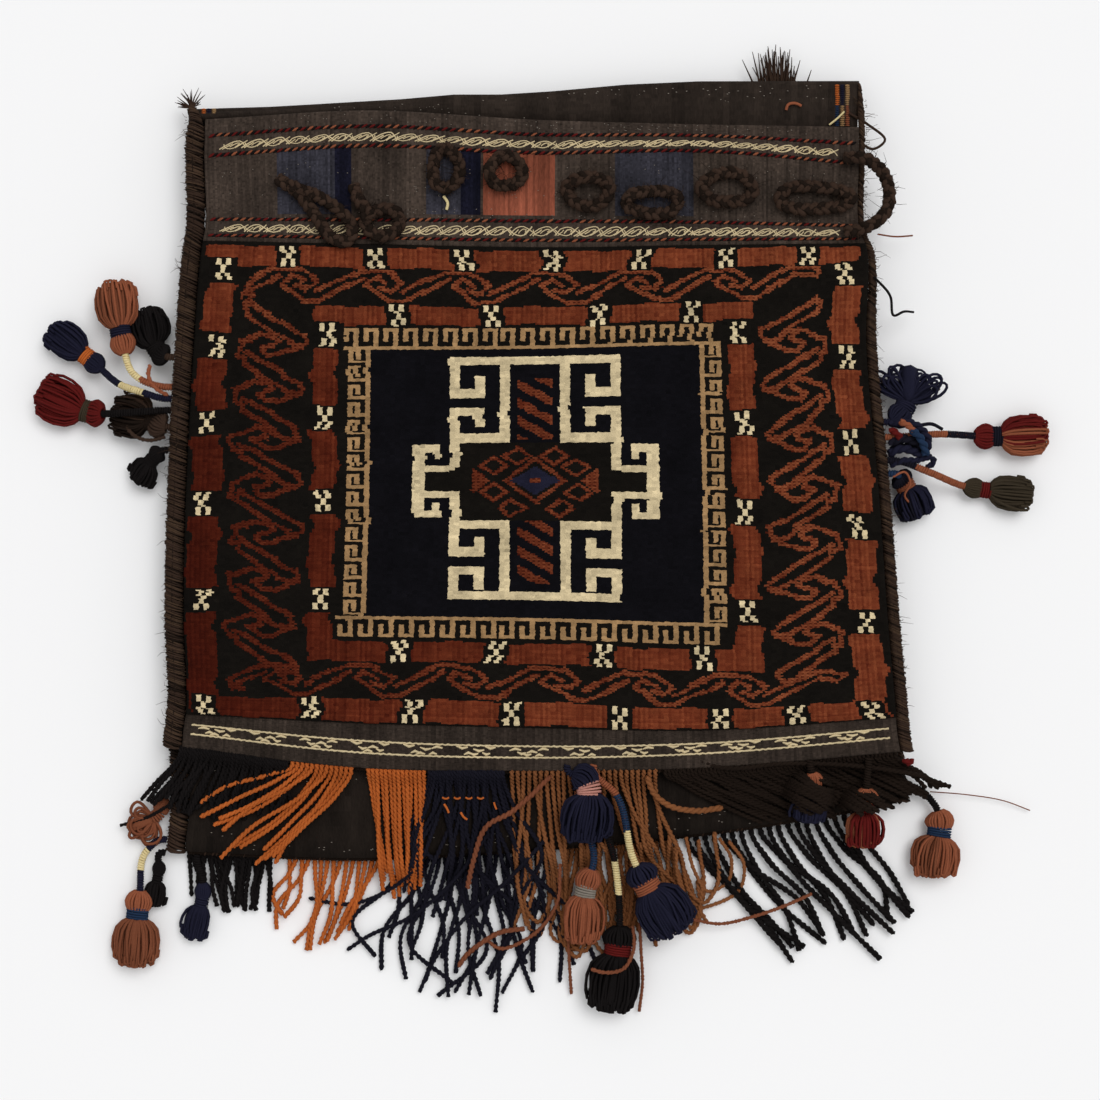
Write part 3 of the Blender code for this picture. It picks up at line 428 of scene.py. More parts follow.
@dataclass(frozen=True)
class Borders:
    """The block borders: where their white crosses stand, in columns and rows."""

    outer_top: tuple[float, ...] = (18.5, 36.5, 54, 72, 90, 108, 125.5)
    outer_foot: tuple[float, ...] = (3.5, 25, 45, 64.5, 85.5, 105, 119.5, 133.5)
    outer_left: tuple[float, ...] = (9.8, 31.6, 55.3, 81, 111.3)
    outer_left_columns: tuple[float, ...] = (4.8, 4.3, 3.6, 3.4, 3.4)
    outer_right: tuple[float, ...] = (11.5, 36.5, 62, 86.6, 115.2)
    outer_right_columns: tuple[float, ...] = (133.0, 133.4, 133.2, 133.3, 133.5)
    inner_top: tuple[float, ...] = (41.5, 60, 81.5, 100.5)
    inner_foot: tuple[float, ...] = (42.4, 61.5, 82.4, 102)
    inner_left: tuple[float, ...] = (28.5, 54, 80.4, 110.8)
    inner_right: tuple[float, ...] = (29.2, 57, 83, 112.3)


# The return curl of the running vine and its diagonals, in columns and rows from the top of a repeat.
VINE_CURL = (
    (2, 0), (4.8, -1.8), (7, -0.8), (7.8, 0.8), (7.3, 1.5), (4.8, 2.3), (6.5, 4.7), (9, 4.7), (10.7, 3.4), (13.4, 2.1),
)
VINE_BULGE = ((2, 0), (0.5, 0.6), (0.5, 5.0), (2, 5.6))
VINE_START = ((2.6, 4.0), (1.2, 4.6), (2.0, 6.8))
VINE_UPPER = ((2, 3.6), (13.3, 13.4))
VINE_LOWER = ((2, 7.2), (7, 12.2), (10.7, 16), (13.4, 16.8))
VINE_END = ((13.3, 13.4), (13.8, 15.2), (13.4, 16.8))
VINE_STROKE = 3.0

# The vine along the top and the foot: its rising stroke with the hook past it, and the lower stroke with its own.
CREST_UPPER = ((0, 7.5), (8.4, 1.1), (11.5, 0.8), (14.8, 1.5), (17.6, 4.8), (15.6, 7.3), (13.2, 6.2))
CREST_LOWER = ((9.6, 3.1), (1.0, 10.3), (-2.6, 10.3), (-7.6, 5.3), (-5.6, 3.0), (-3.3, 4.9))

# One quarter of the hooked cross: inner, outer, near, far in knots and rows from its middle.
HOOKED_CROSS = (
    (0, 17, 34.7, 37.4), (15, 17, 26, 37.4), (10, 17, 26, 28.6), (10, 12, 26, 33), (5, 7, 12, 35),
    (10, 17, 20.4, 23), (10, 12, 17, 23), (15, 17, 3, 23), (5, 17, 12, 14.6), (15, 23, 3, 5),
    (22, 24.4, 0, 11), (18.8, 24.4, 9, 11.2), (18.8, 20.4, 6.6, 11),
)

# The hollow lozenges round the medallion's heart, in knots and rows from its middle.
HEART_LOZENGES = ((-3.6, -7.5), (3.8, -7.5), (-8.2, -4.6), (8, -4), (-8.2, 3.5), (8.5, 3.6), (-4.9, 8.5), (4.8, 8.5))


class FacePattern:
    """Paints the face: block borders, running vine, key border and the hooked cross in its field."""

    def __init__(self, borders: Borders = Borders()) -> None:
        self.chart = WeavingChart()
        self.borders = borders

    def paint(self) -> WeavingChart:
        """The finished chart."""
        self._vines()
        self._blocks()
        self.chart.settle(0.78)
        self._field()
        self._key()
        self._medallion()
        self.chart.settle(0.56)
        return self.chart

    def _blocks(self) -> None:
        """The outer and inner rings of madder blocks."""
        c, b = self.chart, self.borders
        c.rect(1.3, 136.7, 1.6, 8.4, Yarn.MADDER)
        c.rect(1.3, 136.7, 142.4, 149.6, Yarn.MADDER)
        for i, row in enumerate((9.8, 31.6, 55.3, 81, 111.3)):
            foot = (31.6, 55.3, 81, 111.3, 149.6)[i]
            left = (1.5, 1.2, 0.8, 0.6, 0.6)[i]
            c.rect(left, left + 6.0, row, foot, Yarn.MADDER)
        c.rect(130.6, 136.4, 1.6, 149.6, Yarn.MADDER)
        c.rect(24.4, 113.5, 20.0, 25.4, Yarn.MADDER)
        c.rect(24.4, 113.5, 123.8, 130.4, Yarn.MADDER)
        c.rect(24.4, 29.4, 20.0, 130.4, Yarn.MADDER)
        c.rect(108, 113.5, 20.0, 130.4, Yarn.MADDER)
        for places, row in ((b.outer_top, 5), (b.outer_foot, 146), (b.inner_top, 22.8), (b.inner_foot, 127)):
            for column in places:
                c.cross(column, row, 3.8)
        inner = ((b.inner_left, (27.0,) * 4), (b.inner_right, (110.5,) * 4))
        for rows, columns in ((b.outer_left, b.outer_left_columns), (b.outer_right, b.outer_right_columns), *inner):
            for row, column in zip(rows, columns):
                c.rect(column - 3.4, column + 3.4, row - 4.0, row + 4.0, Yarn.GROUND)
                c.cross(column, row, 4.0)

    def _vines(self) -> None:
        """The running vine down both sides and along the top and foot."""
        c = self.chart
        pitch = 17.8
        last = 5
        for unit in range(-1, last + 1):
            for row in (8.3, 130.8):
                for line in (CREST_UPPER[:4] if unit == last else CREST_UPPER, CREST_LOWER):
                    points = [(24.3 + unit * pitch + x, row + y) for x, y in line]
                    c.stroke(points, VINE_STROKE * 0.9, Yarn.VINE)
        for row in (8.3, 130.8):
            c.rect(0, 9.0, row, row + 12, Yarn.GROUND)
            c.rect(129, COLUMNS, row, row + 12, Yarn.GROUND)
            c.stroke([(10.0, row + 5.6), (9.6, row + 8.4), (11.5, row + 9)], VINE_STROKE * 0.9, Yarn.VINE)
            c.stroke([(127.6, row + 1.4), (127.2, row + 3.8), (122.9, row + 3.1)], VINE_STROKE * 0.9, Yarn.VINE)
        for unit in range(8):
            top = 15.4 + unit * 14.6
            for mirror in (False, True):
                lines = (VINE_BULGE, VINE_CURL, VINE_UPPER, VINE_LOWER, VINE_END)
                for line in lines if unit else (VINE_START, *lines[2:]):
                    points = [(8.6 + x, top + y) for x, y in line]
                    if mirror:
                        points = [(COLUMNS - x, y) for x, y in points]
                    c.stroke(points, VINE_STROKE, Yarn.VINE)

    def _field(self) -> None:
        """The dark blue field."""
        self.chart.rect(36, 102, 33, 116, Yarn.FIELD)

    def _key(self) -> None:
        """The gold key border round the field."""
        c = self.chart
        for left, right, top, foot in ((35, 36, 32, 117), (102, 103, 32, 117), (30.5, 106.5, 32, 33), (30.5, 106.5, 116, 117)):
            c.rect(left, right, top, foot, Yarn.GOLD)
        for i in range(19):
            left = 30.4 + i * 3.98
            for rows in (((26.6, 27.6), (27.4, 30.6), (27.4, 32.2)), ((121.4, 122.4), (118.4, 121.6), (116.8, 121.6))):
                c.rect(left, left + 3, *rows[0], Yarn.GOLD)
                c.rect(left, left + 1, *rows[1], Yarn.GOLD)
                c.rect(left + 2, left + 3, *rows[2], Yarn.GOLD)
        for i in range(15):
            top = 32.6 + i * 5.6
            for mirror in (False, True):
                for left, right, low, high in ((31.4, 32.4, 0, 4.6), (31.4, 34, 0, 1), (33.2, 34, 0, 3.4), (31.4, 35.4, 3.8, 4.6)):
                    if mirror:
                        left, right = COLUMNS - right, COLUMNS - left
                    c.rect(left, right, top + low, top + high, Yarn.GOLD)

    def _quarters(self, inner: float, outer: float, near: float, far: float, yarn: Yarn) -> None:
        """A rectangle repeated in the four quarters round the medallion's middle."""
        middle, row = 69.0, 74.3
        for side in (-1, 1):
            for end, stretch in ((-1, 1.4), (1, -1.2)):
                left, right = sorted((middle + side * inner, middle + side * outer))
                low, high = (edge + stretch * (edge > 34) for edge in (near, far))
                top, foot = sorted((row + end * low, row + end * high))
                self.chart.rect(left, right, top, foot, yarn)

    def _medallion(self) -> None:
        """The hooked cross with its striped arms and the flower at its heart."""
        c, middle, row = self.chart, 69.0, 74.2
        self._quarters(0, 15, 0, 12, Yarn.GROUND)
        self._quarters(15, 22, 0, 3, Yarn.GROUND)
        self._quarters(0, 5, 12, 35, Yarn.FIELD)
        c.stripes(middle, row, 12.5, 31.5, 3.5)
        self._quarters(0, 5, 8, 12, Yarn.GROUND)
        for box in HOOKED_CROSS:
            self._quarters(*box, Yarn.IVORY)
        c.outlined(middle, row, 6.4, 7.4, Yarn.GROUND)
        for dc, dr in HEART_LOZENGES:
            c.outlined(middle + dc, row + dr, 3.3, 3.1, Yarn.GROUND)
        for side in (-1, 1):
            c.lozenge(middle + side * 12.2, row, 3.2, 4.0, Yarn.VINE)
            left, right = sorted((middle + side * 12.6, middle + side * 16))
            c.rect(left, min(right, middle + 15) if side > 0 else right, row - 4, row + 3, Yarn.GROUND)
        for side in (-1, 1):
            left, right = sorted((middle + side * 15, middle + side * 17))
            c.rect(left, right, row - 3, row + 3, Yarn.GROUND)
        c.lozenge(middle, row, 4.9, 4.3, Yarn.NAVY)
        c.rect(middle - 0.8, middle + 0.8, row - 0.8, row + 0.8, Yarn.VINE)


CHART = FacePattern().paint()


def link_object(name: str, mesh: bpy.types.Mesh, materials: Iterable[bpy.types.Material]) -> bpy.types.Object:
    """Puts a finished mesh into the scene, with these materials if it has none of its own."""
    for material in materials if not mesh.materials else ():
        mesh.materials.append(material)
    made = bpy.data.objects.new(name, mesh)
    bpy.context.scene.collection.objects.link(made)
    return made


def finish_piece(obj: bpy.types.Object, slot: str, *nodes: str) -> bpy.types.Object:
    """Hangs a piece in the frame and hides the CAD nodes it stands for."""
    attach(obj, "root")
    if nodes:
        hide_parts(*nodes)
    LOG.info("%s: %d faces", obj.name, len(obj.data.polygons))
    return obj


@dataclass
class WovenGrid:
    """A grid of small faces over a stretch of the chart, which a cloth is shaped and dyed on."""

    name: str
    columns: int
    rows: int
    left: float = 0.0
    right: float = float(COLUMNS)
    top: float = 0.0
    foot: float = float(ROWS)

    def __post_init__(self) -> None:
        bm = bmesh.new()
        bmesh.ops.create_grid(bm, x_segments=self.columns, y_segments=self.rows, size=0.5)
        self.mesh = bpy.data.meshes.new(self.name)
        bm.to_mesh(self.mesh)
        bm.free()
        flat = np.empty(len(self.mesh.vertices) * 3)
        self.mesh.vertices.foreach_get("co", flat)
        flat = flat.reshape(-1, 3)
        self.i = np.rint((flat[:, 0] + 0.5) * self.columns).astype(int)
        self.j = np.rint((0.5 - flat[:, 1]) * self.rows).astype(int)
        self.column = self.left + (self.right - self.left) * self.i / self.columns
        self.row = self.top + (self.foot - self.top) * self.j / self.rows
        loops = np.empty(len(self.mesh.loops), np.int32)
        self.mesh.loops.foreach_get("vertex_index", loops)
        corners = loops.reshape(-1, 4)
        self.face_i = self.i[corners].min(1)
        self.face_j = self.j[corners].min(1)

    def shape(self, x: np.ndarray, y: np.ndarray, z: np.ndarray) -> None:
        """Moves every vertex to its place, in millimetres."""
        self.mesh.vertices.foreach_set("co", (np.stack([x, y, z], -1) * MM).ravel())
        self.mesh.update()

    def dye(self, colours: np.ndarray) -> None:
        """Gives every face its colour, as an array of faces by four."""
        layer = self.mesh.color_attributes.new(name="yarns", type="FLOAT_COLOR", domain="CORNER")
        layer.data.foreach_set("color", np.repeat(colours, 4, axis=0).astype(np.float32).ravel())

    def rim(self, low: float, close: bool = False) -> None:
        """Turns the open edge down to a height in millimetres, and closes it below if asked."""
        bm = bmesh.new()
        bm.from_mesh(self.mesh)
        edges = [e for e in bm.edges if e.is_boundary]
        made = bmesh.ops.extrude_edge_only(bm, edges=edges)["geom"]
        for vert in (v for v in made if isinstance(v, bmesh.types.BMVert)):
            vert.co.z = low * MM
        if close:
            loop = [e for e in made if isinstance(e, bmesh.types.BMEdge) and e.is_boundary]
            bmesh.ops.contextual_create(bm, geom=loop)
        bmesh.ops.recalc_face_normals(bm, faces=bm.faces)
        bm.to_mesh(self.mesh)
        bm.free()

    def woven(self, material: bpy.types.Material) -> bpy.types.Object:
        """The finished cloth."""
        self.mesh.shade_smooth()
        return link_object(self.name, self.mesh, [material])


PALETTE = np.array([FINISHES[y].linear() for y in CHART.palette])
PILE_HEIGHTS = np.array([FINISHES[y].height for y in CHART.palette])


def madder_tone(x: np.ndarray, y: np.ndarray) -> np.ndarray:
    """How light the madder is across the face: deep at the left, paler at the top, the right and the foot's middle."""
    top = 0.62 * np.clip((y - 22) / 68, 0, 1) ** 1.3 * (0.65 - 0.0018 * x)
    foot = np.clip((-y - 110) / 40, 0, 1) * np.clip(1 - abs(x) / 170, 0, 1) * 0.35
    low_left = np.clip(-x / 200, 0, 1) * np.clip((40 - y) / 120, 0, 1) * 0.12
    return np.clip(1.02 + 0.0022 * x + top + foot - low_left, 0.4, 1.8)


class UpperPile:
    """The knotted pile of the upper pouch, every knot a small tuft."""

    name = "upper_pile"

    def build(self, rng: np.random.Generator) -> bpy.types.Object:
        """The pile over the face's foundation."""
        fine = CHART.FINE
        grid = WovenGrid(self.name, COLUMNS * fine, ROWS * fine)
        x, y = LATTICE.place(grid.column, grid.row)
        heights = PILE_HEIGHTS[CHART.cells] + rng.normal(0, 0.09, CHART.cells.shape)
        padded = np.pad(heights, 1, mode="edge")
        near = (padded[:-1, :-1] + padded[1:, :-1] + padded[:-1, 1:] + padded[1:, 1:]) / 4
        z = LAYERS.pile_top + near[grid.j, grid.i] + swell(x, y)
        odd_column, odd_row = grid.i % fine == 1, grid.j % fine == 1
        z += np.where(odd_column & odd_row, 0.16, np.where(odd_column | odd_row, 0.0, -0.16))
        inner = (grid.i > 0) & (grid.i < grid.columns) & (grid.j > 0) & (grid.j < grid.rows)
        x = x + rng.normal(0, 0.22, x.shape) * inner
        y = y + rng.normal(0, 0.16, y.shape) * inner
        z = np.where(inner, z, z - 0.6)
        grid.shape(x, y, z)
        yarns = CHART.cells[grid.face_j, grid.face_i]
        knots = rng.normal(1, 0.10, (ROWS, COLUMNS))
        tone = knots[grid.face_j // fine, grid.face_i // fine]
        fx, fy = LATTICE.place((grid.face_i + 0.5) / fine, (grid.face_j + 0.5) / fine)
        red = np.isin(yarns, [CHART.palette.index(Yarn.MADDER), CHART.palette.index(Yarn.VINE)])
        streak = rng.normal(1, 0.09, grid.columns)[grid.face_i] * rng.normal(1, 0.05, grid.rows)[grid.face_j]
        # Painted light and shade: on every red knot the right slope is painted lighter and the left slope darker, as if
        # lit from the right.
        rib_light_and_shade = 1 + 0.09 * np.where(grid.face_i % 2, 1, -1)
        tone = tone * np.where(red, madder_tone(fx, fy) * streak * rib_light_and_shade, 1.0)
        dots = np.where((grid.face_i % fine == 1) & (grid.face_j % fine == 1), 0.45, 1.14)
        tone = tone * np.where(yarns == CHART.palette.index(Yarn.VINE), dots, 1.0)
        colours = PALETTE[yarns] * np.clip(tone, 0.35, 2.0)[:, None]
        colours[red, 1:3] *= np.clip(tone[red], 0.35, 2.0)[:, None] ** 0.45
        colours[:, 3] = 1
        grid.dye(colours)
        grid.rim(LAYERS.face_high - 0.5)
        return finish_piece(grid.woven(FINISH_KIT.pile()), "pile_weave", "upper_face")


@dataclass(frozen=True)
class Patch:
    """A tapestry block of the closure band, in columns."""

    left: float
    right: float
    yarn: Yarn


PATCHES = (
    Patch(15.6, 31.7, Yarn.WEAVE_NAVY),
    Patch(28.2, 31.7, Yarn.NAVY),
    Patch(47.2, 58.0, Yarn.WEAVE_NAVY),
    Patch(54.2, 58.0, Yarn.NAVY),
    Patch(58.4, 73.0, Yarn.WEAVE_RED),
    Patch(85.0, 101.0, Yarn.WEAVE_NAVY),
)
BAND_ROWS = (-30.0, -11.5)
SLITS = (15.5, 31.8, 47.0, 58.2, 73.2, 84.8, 101.2)


class FlatWeaves:
    """The flat woven ends of the upper face, at its mouth and at its foot."""

    def build(self, rng: np.random.Generator) -> list[bpy.types.Object]:
        """Both ends."""
        mouth = WovenGrid("closure_band", COLUMNS * 2, 84, top=MOUTH_ROW, foot=0.4)
        foot = WovenGrid("foot_band", COLUMNS * 2, 39, top=149.6, foot=FOOT_ROW)
        return [self._weave(mouth, rng), self._weave(foot, rng)]

    def _weave(self, grid: WovenGrid, rng: np.random.Generator) -> bpy.types.Object:
        x, y = LATTICE.place(grid.column, grid.row)
        z = LAYERS.face_high + 0.15 + swell(x, y)
        z += rng.normal(0, 0.04, x.shape) + 0.07 * np.cos(grid.i * math.pi)
        for slit in SLITS:
            across = abs(grid.column - slit)
            inside = (grid.row > BAND_ROWS[0]) & (grid.row < BAND_ROWS[1])
            z -= np.where(inside, 0.7 * np.exp(-((across / 0.3) ** 2)), 0)
        edge = (grid.j == 0) | (grid.j == grid.rows)
        z = np.where(edge, z - 0.7, z)
        grid.shape(x, y, z)
        column = grid.left + (grid.face_i + 0.5) * (grid.right - grid.left) / grid.columns
        row = grid.top + (grid.face_j + 0.5) * (grid.foot - grid.top) / grid.rows
        yarns = np.full(len(column), CHART.palette.index(Yarn.WEAVE))
        tone = rng.normal(1, 0.15, grid.columns)[grid.face_i] * rng.normal(1, 0.14, len(column))
        worn = np.sin(column / 5.3 + 1) * np.sin(row / 4.1) + np.sin(column / 2.1) * np.cos(row / 2.7) * 0.5
        tone = tone * (1 + 0.14 * worn)
        inside = (row > BAND_ROWS[0]) & (row < BAND_ROWS[1])
        for patch in PATCHES:
            hit = inside & (column > patch.left) & (column < patch.right)
            yarns[hit] = CHART.palette.index(patch.yarn)
            if patch.yarn is Yarn.NAVY:
                tone = np.where(hit, tone * 0.62, tone)
            if patch.yarn is Yarn.WEAVE_RED:
                streak = rng.normal(1, 0.16, grid.columns)[grid.face_i]
                fade = np.clip((row - BAND_ROWS[0]) / (BAND_ROWS[1] - BAND_ROWS[0]), 0, 1)
                tone = np.where(hit, streak * (0.84 + 0.28 * fade), tone)
        tone = np.where(row > 100, tone * 0.72, tone)
        colours = PALETTE[yarns] * np.clip(tone, 0.4, 1.8)[:, None]
        colours[:, 3] = 1
        grid.dye(colours)
        grid.rim(LAYERS.face_high - 1.0)
        return finish_piece(grid.woven(FINISH_KIT.flat_weave()), "flat_weave", "upper_face")


class Route:
    """A smooth line through points in millimetres, with places beside and above it."""

    def __init__(self, points: Sequence[Sequence[float]], step: float = 1.0) -> None:
        given = np.asarray(points, float)
        knots = np.concatenate([[0], np.cumsum(np.linalg.norm(np.diff(given, axis=0), axis=1))])
        at = np.linspace(0, knots[-1], max(8, int(knots[-1] / 0.5)))
        line = np.stack([hermite(knots, given[:, k], at) for k in range(3)], -1)
        run = np.concatenate([[0], np.cumsum(np.linalg.norm(np.diff(line, axis=0), axis=1))])
        self.length = float(run[-1])
        self.run = np.linspace(0, self.length, max(3, int(self.length / step) + 1))
        self.points = np.stack([np.interp(self.run, run, line[:, k]) for k in range(3)], -1)
        along = np.gradient(self.points, axis=0)
        along /= np.linalg.norm(along, axis=1)[:, None]
        side = np.cross(along, (0, 0, 1))
        side /= np.maximum(np.linalg.norm(side, axis=1)[:, None], 1e-6)
        self._along, self._side, self._up = along, side, np.cross(side, along)

    def _mix(self, table: np.ndarray, s: np.ndarray) -> np.ndarray:
        return np.stack([np.interp(s, self.run, table[:, k]) for k in range(3)], -1)

    def at(self, s: np.ndarray, aside: np.ndarray = 0, above: np.ndarray = 0) -> np.ndarray:
        """Points this far along the line, moved aside and above it."""
        s = np.asarray(s, float)
        aside = np.broadcast_to(aside, s.shape)[:, None]
        above = np.broadcast_to(above, s.shape)[:, None]
        return self._mix(self.points, s) + self._mix(self._side, s) * aside + self._mix(self._up, s) * above


class Skein:
    """Strands of yarn gathered into one mesh."""

    def __init__(self, name: str, sides: int = 0) -> None:
        self.name = name
        self.sides = sides
        self.strands: list[tuple[np.ndarray, np.ndarray, Yarn]] = []

    def add(self, points: np.ndarray, radius: float | np.ndarray, yarn: Yarn) -> None:
        """Adds a strand through points, with its radius in millimetres."""
        self.strands.append((points, np.broadcast_to(radius, (len(points),)), yarn))

    def spun(self) -> bpy.types.Object:
        """The mesh of all the strands."""
        yarns = sorted({y for _, _, y in self.strands}, key=lambda y: y.value)
        curve = bpy.data.curves.new(self.name, "CURVE")
        curve.dimensions = "3D"
        curve.bevel_depth = MM
        curve.bevel_resolution = self.sides
        curve.use_fill_caps = True
        for yarn in yarns:
            curve.materials.append(FINISH_KIT.yarn(yarn))
        for points, radii, yarn in self.strands:
            spline = curve.splines.new("POLY")
            spline.points.add(len(points) - 1)
            flat = np.ones((len(points), 4))
            flat[:, :3] = points * MM
            spline.points.foreach_set("co", flat.ravel())
            spline.points.foreach_set("radius", np.ascontiguousarray(radii, float))
            spline.material_index = yarns.index(yarn)
            spline.use_smooth = True
        drawn = bpy.data.objects.new(self.name, curve)
        bpy.context.scene.collection.objects.link(drawn)
        bpy.context.view_layer.update()
        mesh = bpy.data.meshes.new_from_object(drawn.evaluated_get(bpy.context.evaluated_depsgraph_get()))
        bpy.data.objects.remove(drawn)
        bpy.data.curves.remove(curve)
        mesh.name = self.name
        return link_object(self.name, mesh, [FINISH_KIT.yarn(y) for y in yarns])


def over_face(column: np.ndarray, row: np.ndarray, above: float) -> np.ndarray:
    """Points at a height over the flat weave of the upper face."""
    x, y = LATTICE.place(column, row)
    return np.stack([x, y, LAYERS.face_high + 0.15 + swell(x, y) + above], -1)


@dataclass(frozen=True)
class Stripe:
    """A brocaded stripe: its middle row and the rows of its twined lines over and under it."""

    row: float
    over: float
    under: float
    tall: float


STRIPES = (Stripe(-33, -3.2, 2.6, 1.15), Stripe(-6, -3.6, 3.3, 1.7))


class Brocade:
    """The white figures of the stripes and the twined lines that edge them."""

    FIGURE = 4.6
    LINES = (
        ((-0.4, 0.9), (1.5, -0.7), (2.9, -1.0), (3.7, -0.7), (5.2, 0.8)),
        ((0.2, 0.95), (1.9, -0.35)),
        ((0.0, -0.35), (0.8, 0.75), (2.3, 1.0), (3.6, 0.0), (4.9, -0.95)),
        ((1.6, 0.45), (2.7, -0.45), (3.5, -0.4), (3.1, 0.15)),
        ((2.9, 0.75), (4.3, -0.45)),
    )

    def build(self, rng: np.random.Generator) -> bpy.types.Object:
        """All the raised yarns of the flat weave."""
        skein = Skein("brocade", 0)
        for stripe in STRIPES:
            self._figures(skein, stripe, rng)
            for off in (stripe.over, stripe.under):
                self._twining(skein, stripe.row + off, rng)
        self._foot_band(skein, rng)
        self._flecks(skein, rng)
        return finish_piece(skein.spun(), "flat_weave", "upper_face")

    def _figures(self, skein: Skein, stripe: Stripe, rng: np.random.Generator) -> None:
        """A chain of overlapping slanted lozenges with a hook in each."""
        for i in range(int(131 / self.FIGURE)):
            start = 4.0 + i * self.FIGURE
            tall = stripe.tall * rng.normal(1, 0.08)
            slant = rng.choice([1.0, 1.0, 1.0, -0.6]) * rng.uniform(0.4, 0.9)
            for line in self.LINES:
                at = np.array(line)
                fine = np.linspace(0, len(at) - 1, 2 * len(at))
                c = np.interp(fine, range(len(at)), at[:, 0])
                r = np.interp(fine, range(len(at)), at[:, 1])
                c = start + c - slant * r * 0.6 + 0.08 * np.sin(fine * 9 + i)
                skein.add(over_face(c, stripe.row + tall * r, 0.2), 0.3 + 0.14 * rng.random(), Yarn.IVORY)

    def _twining(self, skein: Skein, row: float, rng: np.random.Generator) -> None:
        """A line of slanting stitches, a coloured one and a dark one by turns."""
        for i, column in enumerate(np.arange(1.5, 136.8, 0.82)):
            bright = Yarn.RUST if rng.random() < 0.55 else Yarn.CHERRY
            yarn = Yarn.BLACK if i % 2 else bright
            c = column + np.array([-0.6, 0.0, 0.6])
            r = row + np.array([0.45, 0.0, -0.45]) * rng.uniform(0.9, 1.25) + rng.normal(0, 0.06)
            skein.add(over_face(c, r, 0.3), np.array([0.4, 0.85, 0.4]) * rng.uniform(0.85, 1.1), yarn)

    def _foot_band(self, skein: Skein, rng: np.random.Generator) -> None:
        """The two white lines at the foot and the small figures between them."""
        column = np.linspace(1.5, 136.5, 240)
        for off in (-1.7, 1.7):
            points = over_face(column, 157 + off + 0.12 * np.sin(column * 5), 0.2)
            skein.add(points, 0.6 + 0.12 * np.sin(np.arange(240) * 1.9), Yarn.IVORY)
        hooks = ((0, -0.9, 1.6), (1.2, 0.5, 1.2), (2.2, 0.9, 1.3), (3.2, -0.2, 1.5), (4.6, 0.8, 1.1), (5.4, -1.0, 1.5))
        for i in range(13):
            start = 4.0 + i * 10.2
            for dc, dr, wide in hooks:
                c = start + dc + np.array([-wide, 0, wide]) * 0.7
                r = 157 + dr + np.array([0.5, -0.1, 0.3]) * rng.choice([-1, 1])
                skein.add(over_face(c, r, 0.15), np.array([0.4, 0.95, 0.5]), Yarn.IVORY)

    def _flecks(self, skein: Skein, rng: np.random.Generator) -> None:
        """Small pale wefts that show through the worn weave."""
        for _ in range(260):
            row = rng.choice([-38.5, -38.9, -25, -18, -12, -10.5]) + rng.normal(0, 0.9)
            c = rng.uniform(3, 135) + np.array([-0.12, 0, 0.12])
            skein.add(over_face(c, row + np.zeros(3), 0.1), np.array([0.1, 0.22, 0.1]), Yarn.GREY)


class UpperFaceCloth:
    """The foundation that the pile and the flat weaves of the upper pouch are worked on."""

    def build(self) -> bpy.types.Object:
        """The closed cloth under the pile."""
        grid = WovenGrid("upper_face_cloth", 69, 102, top=MOUTH_ROW, foot=FOOT_ROW)
        x, y = LATTICE.place(grid.column, grid.row)
        grid.shape(x, y, LAYERS.face_high - 0.9 + swell(x, y))
        grid.dye(np.tile(PALETTE[CHART.palette.index(Yarn.WEAVE)] * (0.5, 0.5, 0.5, 1), (69 * 102, 1)))
        grid.rim(LAYERS.face_low, close=True)
        return finish_piece(grid.woven(FINISH_KIT.flat_weave()), "flat_weave", "upper_face")


class LowerFace:
    """The lower pouch's face, which lies on its pile: the same chart, seen from below."""

    def build(self, rng: np.random.Generator) -> bpy.types.Object:
        """The closed face."""
        rows = int(FOOT_ROW - MOUTH_ROW)
        grid = WovenGrid("lower_face_cloth", COLUMNS // 2, rows, top=MOUTH_ROW, foot=FOOT_ROW)
        column = grid.face_i * 2
        x, y = LAYERS.lowered(*LATTICE.place(grid.column, grid.row))
        piled = (grid.row > 0) & (grid.row < ROWS)
        z = np.where(piled, 0.15 + 0.12 * ((grid.i + grid.j) % 2), LAYERS.lower_face)
        grid.shape(x, y, z)
        yarns = np.full(len(grid.face_i), CHART.palette.index(Yarn.WEAVE))
        row = grid.face_j + MOUTH_ROW + 0.5
        piled = (row > 0) & (row < ROWS)
        cells = CHART.cells[:: CHART.FINE, :: CHART.FINE]
        down = np.clip(row, 0, ROWS - 1).astype(int)
        yarns = np.where(piled, cells[down, column], yarns)
        tone = rng.normal(1, 0.1, len(yarns))
        for patch in PATCHES:
            hit = (row > BAND_ROWS[0]) & (row < BAND_ROWS[1]) & (column > patch.left) & (column < patch.right)
            yarns = np.where(hit, CHART.palette.index(patch.yarn), yarns)
        for middle in (-33, -6, 157):
            hit = (abs(row - middle) < 2) & (np.sin(column * 1.9) * np.cos(row * 2.4) > -0.2)
            yarns = np.where(hit, CHART.palette.index(Yarn.IVORY), yarns)
        colours = PALETTE[yarns] * np.clip(tone, 0.6, 1.5)[:, None]
        colours[:, 3] = 1
        grid.dye(colours)
        grid.rim(5.4, close=True)
        return finish_piece(grid.woven(FINISH_KIT.pile()), "pile_weave", "lower_face")


FOLD_X = (-213.0, -157.0, -126.6, -82.0, -50.0, -22.0, 9.6, 53.4, 97.8, 195.0)
FOLD_Y = (206.0, 208.0, 210.0, 212.6, 215.4, 215.4, 217.4, 221.4, 223.4, 223.6)


